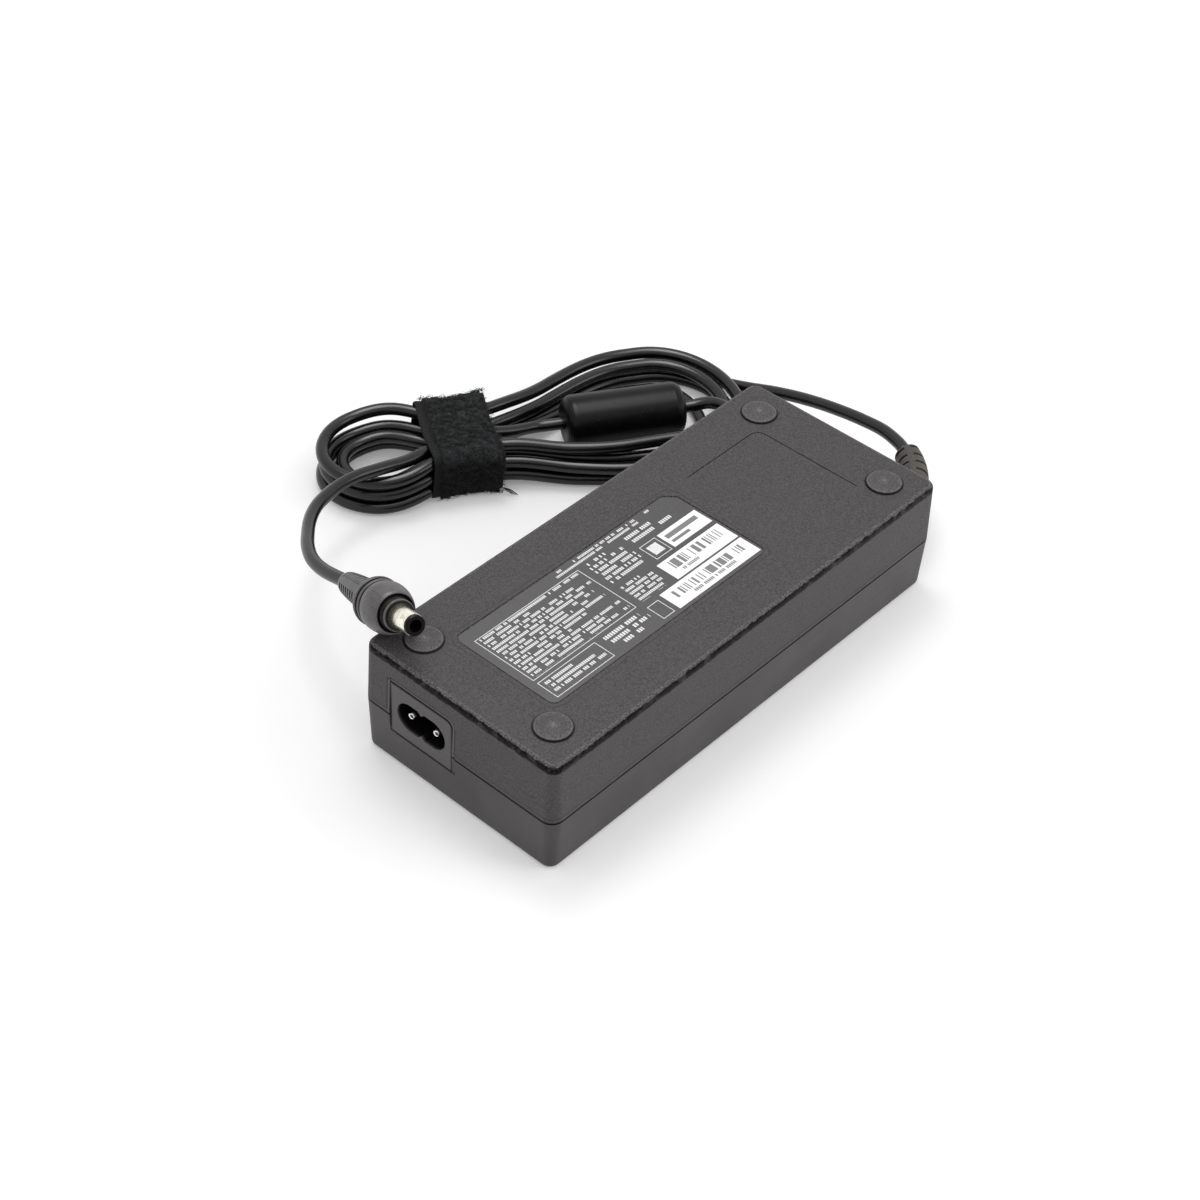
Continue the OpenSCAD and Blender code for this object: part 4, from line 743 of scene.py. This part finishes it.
scuffs = uv.stretched(900, 60, 1).noise(1, 3)
mottle = spot.noise(220, 3)
dust = spot.noise(1500, 4, 0.7).within(0.58, 0.75)
tone = mottle.within(0.3, 0.7).blend(grey(10), grey(18))
tone = (0.12 * dust).blend(tone, grey(120))
shade(cord_paint, Base_Color=tone, Roughness=0.2 + 0.12 * scuffs, Specular_IOR_Level=0.4)
shade(cord_paint, Normal=(spot.noise(2600, 2) + 0.5 * scuffs).bump(0.00003, 0.5))
dress(cord_paint, "cord_lead", "cord_hank", "cord_tail")
cord = tube("dc_cord", cord_line, cord_d / 2 * mm, cord_sides, cord_paint)
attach(cord, "root")
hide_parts("cord_lead", "cord_hank", "cord_tail")

# The hook-and-loop tie: a strip of black nylon fabric wound round the waist of the hank, with a brushed
# outer face and its end pressed down on itself. Worn loops stand on it, and threads fray from a corner.
tie_from, tie_w = -11.6, 20.4
tie_far, tie_near = 14.7, 11.5
tie_low, tie_high = 1.4, 14.95
tie_corner, tie_mouth = 2.2, 1.6
fabric_t, nap_low, nap_high, nap_lumps = 0.7, 0.75, 1.5, 0.3
hair_count, hair_r, thread_r = 7000, 0.085, 0.16


def tie_ring(s, turn, grow):
    """The strap's outline round the hank at s: a rounded rectangle that opens towards both edges by the
    square of the distance from the middle. turn runs from 0 to 1 round it, and grow sets it outwards."""
    flare = tie_mouth * (2 * (s - tie_from) / tie_w - 1) ** 2
    far, near = tie_far + flare + grow, -tie_near - flare - grow
    low, high = tie_low - grow, tie_high + grow
    r = tie_corner + grow
    flat = np.array([tie_far + tie_near - 2 * tie_corner, tie_high - tie_low - 2 * tie_corner] * 2)
    bend = np.pi / 2 * tie_corner
    ends = np.concatenate([[0], np.cumsum(np.stack([np.full(4, bend), flat], 1).ravel())])
    at = turn * ends[-1]
    n, z = np.zeros(np.broadcast(s, turn).shape), np.zeros(np.broadcast(s, turn).shape)
    for q in range(4):
        centre_n = np.where(q in (0, 3), far - r, near + r)
        centre_z = high - r if q < 2 else low + r
        angle = np.pi / 2 * (q + np.clip((at - ends[2 * q]) / bend, 0, 1))
        here = (at >= ends[2 * q]) & (at <= ends[2 * q + 1] + 1e-9)
        n = np.where(here, centre_n + r * np.cos(angle), n)
        z = np.where(here, centre_z + r * np.sin(angle), z)
        share = np.clip((at - ends[2 * q + 1]) / flat[q], 0, 1)
        nxt = (q + 1) % 4
        next_n = far - r if nxt in (0, 3) else near + r
        next_z = high - r if nxt < 2 else low + r
        corner = np.pi / 2 * (q + 1)
        start_n, start_z = centre_n + r * math.cos(corner), centre_z + r * math.sin(corner)
        end_n, end_z = next_n + r * math.cos(corner), next_z + r * math.sin(corner)
        here = (at > ends[2 * q + 1]) & (at <= ends[2 * q + 2] + 1e-9)
        n = np.where(here, start_n + (end_n - start_n) * share, n)
        z = np.where(here, start_z + (end_z - start_z) * share, z)
    return hank_place(s, n, z)


def strap(name, first, last, low, high, lumps, made):
    """A closed band round the hank from first to last along it, between two distances from the tie's
    inside. Its outer face is raised by lumps of smooth noise, the sum of a few random waves."""
    rows, turns = 44, 200
    s, turn = np.meshgrid(np.linspace(first, last, rows), np.arange(turns) / turns, indexing="ij")
    chance = np.random.default_rng(7)
    lump = np.zeros(s.shape)
    for _ in range(14):
        phase = chance.uniform(-2.6, 2.6) * s
        phase += 2 * np.pi * chance.integers(4, 34) * turn
        lump += np.sin(phase + chance.uniform(0, 6))
    edge = np.minimum(s - first, last - s).clip(0, 1)
    skirt = 0.35 * np.sin(2 * np.pi * 3 * turn + 1) * (1 - edge)
    outer = tie_ring(s + skirt, turn, high - 0.3 * (1 - edge) + lumps * lump / 4)
    outer[..., 2] = outer[..., 2].clip(0.05)
    shell = np.concatenate([outer, tie_ring(s + skirt, turn, low)[::-1]]) * mm
    i, k = np.meshgrid(np.arange(2 * rows), np.arange(turns), indexing="ij")
    j, m = (i + 1) % (2 * rows), (k + 1) % turns
    faces = np.stack([i * turns + k, i * turns + m, j * turns + m, j * turns + k], -1).reshape(-1, 4)
    return piece(name, shell, faces, made)


tie_paint, spot = material("tie_nylon")
fuzz = spot.noise(1900, 4, 0.75)
clumps = spot.noise(260, 3)
# Painted light: the top of the tie is made lighter.
painted_top_light = (spot.part(2) * 1000).within(10.5, 15.5)
tone = fuzz.within(0.35, 0.7).blend(colour(13, 12, 12), colour(50, 48, 48))
tone = (0.3 * clumps.within(0.5, 0.7)).blend(tone, colour(15, 14, 15))
tone = (0.45 * painted_top_light * fuzz.within(0.3, 0.6)).blend(tone, colour(78, 82, 84))
shade(tie_paint, Base_Color=tone, Roughness=0.95, Normal=fuzz.bump(0.0005), Specular_IOR_Level=0.15)
woven_paint, spot = material("tie_woven")
threads = (spot.part(2) * 9000).math("SINE") * (spot.part(0) * 7000).math("SINE")
tone = threads.within(-0.5, 0.9).blend(colour(10, 10, 11), colour(34, 35, 36))
shade(woven_paint, Base_Color=tone, Roughness=0.8, Specular_IOR_Level=0.2)
shade(woven_paint, Normal=threads.bump(0.00008, 0.6))
tie_to, nap_from, nap_to = tie_from + tie_w, tie_from + 2.6, tie_from + tie_w - 1
tie_under = strap("cable_tie_fabric", tie_from, tie_to, 0, fabric_t, 0, woven_paint)
tie_over = strap("cable_tie_nap", nap_from, nap_to, nap_low, nap_high, nap_lumps, tie_paint)


def hairs(name, count, made):
    """Loops and ends of nylon standing on the tie: each is a thin three-sided hair that leaves the strap
    square to it, drifts sideways and curls back by a random amount."""
    chance = np.random.default_rng(11)
    s = chance.uniform(tie_from + 2.2, tie_from + tie_w + 0.1, count)
    turn = chance.uniform(0, 1, count)
    root = tie_ring(s, turn, 1.3)
    out = tie_ring(s, turn, 1.4) - root
    out /= np.linalg.norm(out, axis=1)[:, None]
    drift = chance.normal(0, 1, (count, 3))
    drift -= out * (drift * out).sum(axis=1)[:, None]
    drift /= np.linalg.norm(drift, axis=1)[:, None]
    curl = np.cross(out, drift) * chance.normal(0, 0.5, count)[:, None]
    length = chance.gamma(4, 0.27, count).clip(0.3, 2.5)[:, None]
    t = np.linspace(0, 1, 5)[:, None, None]
    bend = chance.uniform(0.5, 1.25, count)[:, None]
    line = root + length * (out * np.sin(2.4 * t * bend) / 2.4 + drift * (0.75 * t**1.5) + curl * t**2)
    line[..., 2] = line[..., 2].clip(0.15)
    along = np.gradient(line, axis=0)
    along /= np.linalg.norm(along, axis=2)[:, :, None]
    x = np.cross(along, drift + 0.3 * out)
    x /= np.linalg.norm(x, axis=2)[:, :, None]
    y = np.cross(along, x)
    width = hair_r * (1 - 0.5 * t)
    rings = [line + width * (math.cos(a) * x + math.sin(a) * y) for a in (0, 2.094, 4.189)]
    points = np.stack(rings, 2).transpose(1, 0, 2, 3) * mm
    base = np.arange(count)[:, None, None] * 15
    i, k = np.meshgrid(np.arange(4), np.arange(3), indexing="ij")
    m = (k + 1) % 3
    quads = np.stack([i * 3 + k, i * 3 + m, i * 3 + 3 + m, i * 3 + 3 + k], -1).reshape(-1, 4)
    ends = np.array([(2, 1, 0), (12, 13, 14)])
    faces = (base + quads).reshape(-1, 4).tolist() + (base + ends).reshape(-1, 3).tolist()
    return piece(name, points, faces, made)


hair_paint, spot = material("tie_hair")
tone = spot.noise(500, 2).blend(colour(8, 8, 8), colour(44, 45, 45))
shade(hair_paint, Base_Color=tone, Roughness=0.7 + 0.2 * spot.noise(900, 1), Specular_IOR_Level=0.3)
tie_hairs = hairs("cable_tie_hairs", hair_count, hair_paint)
corner = tie_ring(np.array([tie_to]), np.array([0.52]), 0.6)[0]
frayed = []
for index, (reach, drop, lift) in enumerate(((3.6, -1.9, -0.2), (2.7, -2.4, 0.5), (2.2, -0.9, -0.5))):
    bow = np.linspace(0, 1, 12)[:, None]
    way = reach * bow * hank_e + (drop * bow + 0.5 * np.sin(4 * bow + index)) * hank_n
    way = way + (lift * bow - 0.9 * bow**2) * np.array((0, 0, 1))
    frayed.append(tube(f"cable_tie_thread_{index + 1}", (corner + way) * mm, thread_r * mm, 6, hair_paint))
dress(tie_paint, "cable_tie")
for made in (tie_under, tie_over, tie_hairs, *frayed):
    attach(made, "root")
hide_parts("cable_tie")

# The strain relief: a bent, tapered sleeve of softer, greyer rubber moulded over the cord, held in the
# case's wall. Rows of short slots on both sides of its plain top and bottom let it bend with the cord.
relief_start, relief_bend_r, relief_turn = np.array((76.1, -19.5, 16.4)), 28, math.radians(60)
relief_r, relief_tip_r, relief_rounding = 4.6, 3.7, 0.8
relief_slots = 3.4 + 3.4 * np.arange(8)
relief_slot_w, slot_deep = 0.8, 0.8
relief_bands = (12, 87, 119, 168, 192, 241, 273, 348)


def slotted(stations, radius, slots, width, deep, bands):
    """A round body's stations with those of its slots' walls, the angles round it, its radius at both,
    and 1 where a slot or its wall is. slots are the stations at which slots begin, and bands are the
    angles, in degrees, between which they reach."""
    walls = [slots - past for past in (0.06, 0.03, 0)] + [slots + width + past for past in (0, 0.03, 0.06)]
    at = np.unique(np.concatenate([stations, *walls]))
    first, last = np.radians(np.array(bands, float).reshape(-1, 2)).T
    walls = [first - past for past in (0, 0.04, 0.05)] + [last + past for past in (0, 0.04, 0.05)]
    angles = np.unique(np.concatenate([2 * np.pi * np.arange(72) / 72, *walls]))

    def inside(past, turned):
        """1 in the slots, each made wider by past on both sides and longer by an angle at both ends."""
        cut = (at > slots[:, None] - past) & (at < slots[:, None] + width + past)
        band = (angles > first[:, None] - turned) & (angles < last[:, None] + turned)
        return cut.any(0)[:, None] * band.any(0)[None] * 1.0

    bare = np.interp(at, stations, radius)[:, None]
    return at, angles, bare - deep * inside(0.01, 0.001), inside(0.04, 0.045)


stations = np.linspace(0, relief_turn * relief_bend_r, 40)
round_end = relief_rounding * (1 - np.sqrt(1 - np.clip(stations - stations[-1] + 1, 0, 1) ** 2))
bare = relief_r - (relief_r - relief_tip_r) * stations / stations[-1] - round_end
at, angles, radius, deep = slotted(stations, bare, relief_slots, relief_slot_w, slot_deep, relief_bands)
bend = at / relief_bend_r
zero = np.zeros(len(at))
axis_at = relief_start + relief_bend_r * np.stack([np.sin(bend), 1 - np.cos(bend), zero], 1)
outside = np.stack([np.sin(bend), -np.cos(bend), zero], 1)
upright = np.stack([zero, zero, zero + 1], 1)
relief_paint, spot = material("relief_rubber")
deep_at = spot.node("Attribute", {"attribute_name": "painted_deep_shade"}, None, "Fac")
grain = spot.noise(2200, 3, 0.6)
smear = spot.noise(300, 3)
tone = grain.within(0.3, 0.7).blend(colour(66, 63, 60), colour(84, 80, 76))
tone = (0.3 * smear.within(0.45, 0.7)).blend(tone, colour(100, 96, 90))
# Painted shade in the slots.
tone = (0.9 * deep_at).blend(tone, colour(14, 13, 12))
shade(relief_paint, Base_Color=tone, Roughness=0.5 + 0.15 * grain, Normal=grain.bump(0.00003, 0.6))
shade(relief_paint, Specular_IOR_Level=0.25)
dress(relief_paint, "strain_relief")
relief = skin("relief_sleeve", axis_at * mm, outside, upright, radius * mm, angles, relief_paint, deep)
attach(relief, "root")
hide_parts("strain_relief")

# The ferrite core's cover: smooth black PVC moulded over the sleeve and the cord, with a thin flash line
# along both sides where the two halves of its mould met.
core_paint, spot = material("core_pvc")
flash = (spot.part(2) * 1000 - core_z).math("ABSOLUTE") < 0.08
streaks = spot.stretched(300, 300, 900).noise(1, 3)
dust = spot.noise(900, 4, 0.7).within(0.6, 0.75)
tone = streaks.within(0.3, 0.7).blend(grey(12), grey(17))
tone = (0.14 * dust).blend(tone, grey(110))
tone = (0.4 * flash).blend(tone, grey(48))
shade(core_paint, Base_Color=tone, Roughness=0.28 + 0.14 * streaks, Specular_IOR_Level=0.15)
shade(core_paint, Normal=(streaks + flash).bump(0.00002, 0.5))
dress(core_paint, "core_cover")

# The plug: a grained black PVC body moulded over the barrel. A collar and a deep groove lie in front of
# its grip, two grooves run round the grip's back, and its boot is slotted like the strain relief. Each
# place on its outline has its distance from the plug's tip, its radius, and 1 where it lies deep and gets
# painted shade.
plug_tip = np.array((-72.5, 16.6, 47.724))
plug_side = np.cross(plug_dir, (0, 0, 1))
plug_side /= np.linalg.norm(plug_side)
plug_up = np.cross(plug_side, plug_dir)
collar = (
    (8.9, 2.6, 1), (8.9, 3.85, 1), (8.88, 3.92, 0.2), (8.95, 4.08, 0), (9.2, 4.15, 0), (9.7, 4.15, 0.3),
)
front_groove = (
    (9.9, 4.1, 0.9), (10.2, 3.5, 1), (11, 3.4, 1), (11.6, 3.5, 1), (11.6, 4.9, 1), (11.05, 5, 0.8),
)
crown = (
    (10.98, 5.08, 0.2), (11.05, 5.3, 0), (12, 5.7, 0), (13, 6.05, 0), (14, 6.32, 0), (15, 6.5, 0),
    (16, 6.6, 0), (17, 6.6, 0), (18, 6.46, 0), (18.85, 6.2, 0),
)
back_grooves = (
    (18.9, 6.1, 1), (18.95, 5.5, 1), (19.6, 5.5, 1), (19.65, 6, 1), (19.7, 6.1, 0), (20.2, 6.2, 0),
    (20.4, 6.25, 0), (20.45, 6.15, 1), (20.5, 5.6, 1), (21.15, 5.6, 1), (21.2, 6.25, 1), (21.25, 6.4, 0),
)
back = (
    (22, 6.45, 0), (22.6, 6.3, 0), (22.9, 6.05, 0), (23, 5.7, 0), (23.02, 4.6, 0.5), (23.1, 4.3, 0.8),
    (23.5, 4.22, 0.2),
)
profile = np.array(collar + front_groove + crown + back_grooves + back)
boot = np.array((
    (23.6, 4.2), (26, 4.15), (30, 3.95), (33, 3.72), (36, 3.42), (38, 3.15), (39.3, 2.85), (40, 2.55),
    (40.3, 2.2), (40.32, 2),
))
boot_slots, boot_slot_w = 24.6 + 1.55 * np.arange(9), 0.72
boot_bands = (63, 117, 153, 207, 243, 297, 333, 357)
at, angles, radius, deep = slotted(boot[:, 0], boot[:, 1], boot_slots, boot_slot_w, slot_deep, boot_bands)
at = np.concatenate([profile[:, 0], at])
radius = np.concatenate([profile[:, 1:2].repeat(len(angles), 1), radius])
deep = np.concatenate([profile[:, 2:].repeat(len(angles), 1), deep])
grip_paint, spot = material("plug_pvc")
deep_at = spot.node("Attribute", {"attribute_name": "painted_deep_shade"}, None, "Fac")
aside = plug_side + 0.5 * plug_up
aside /= np.linalg.norm(aside)
seam = (1000 * spot.along(aside) - float(aside @ plug_tip)).math("ABSOLUTE") < 0.06
grain = spot.noise(3000, 3, 0.65)
shine = spot.noise(250, 3)
tone = grain.within(0.3, 0.7).blend(grey(72), grey(100))
tone = (0.3 * shine.within(0.4, 0.7)).blend(tone, grey(108))
tone = (0.5 * seam).blend(tone, grey(18))
# Painted shade in the grooves, the collar's recess and the boot's slots.
tone = (0.97 * deep_at).blend(tone, grey(5))
shade(grip_paint, Base_Color=tone, Roughness=0.3 + 0.16 * grain, Normal=(grain - seam).bump(0.00004, 0.7))
shade(grip_paint, Specular_IOR_Level=0.3)
dress(grip_paint, "plug_body")
count = (len(at), 1)
places = (plug_tip + at[:, None] * plug_dir) * mm
sides, ups = np.tile(plug_side, count), np.tile(-plug_up, count)
plug = skin("plug_grip", places, sides, ups, radius * mm, angles, grip_paint, deep)
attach(plug, "root")
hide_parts("plug_body")

# In front of the grip: a turned, nickel-plated sleeve worn to the brass in places, a grey fibre washer
# behind it, and a black insulating tip with a brass contact pressed into it.
sleeve_paint, spot = material("sleeve_nickel")
wear = spot.noise(700, 4, 0.6)
tone = wear.within(0.5, 0.72).blend(colour(244, 240, 228), colour(202, 184, 158))
shade(sleeve_paint, Base_Color=tone, Metallic=1, Roughness=0.14 + 0.22 * wear)
shade(sleeve_paint, Normal=wear.bump(0.00001, 0.4))
dress(sleeve_paint, "plug_sleeve")
fibre, brass = (colour(18, 18, 17), colour(74, 73, 70)), (colour(60, 50, 34), colour(86, 72, 48))
mottled("washer_fibre", *fibre, 2600, 0.6, 0.00005, "plug_washer", gloss=0.3)
mottled("tip_plastic", grey(8), grey(14), 3000, 0.2, 0.00001, "plug_insulator", gloss=0.12)
mottled("contact_brass", *brass, 1500, 0.35, 0.00002, "plug_contact", metal=1)

# The pieces on the cord: the strain relief, the core and its cover, the tie and the plug. The cord is limp
# and wound up, and is measured from where it leaves the strain relief to where the plug's boot grips it.
on_cord = ["relief_sleeve", "core_cover", "ferrite_sleeve"]
on_cord += ["cable_tie_fabric", "cable_tie_nap", "cable_tie_hairs"]
on_cord += [thread.name for thread in frayed]
on_cord += ["plug_grip", "plug_washer", "plug_sleeve", "plug_insulator", "plug_contact"]
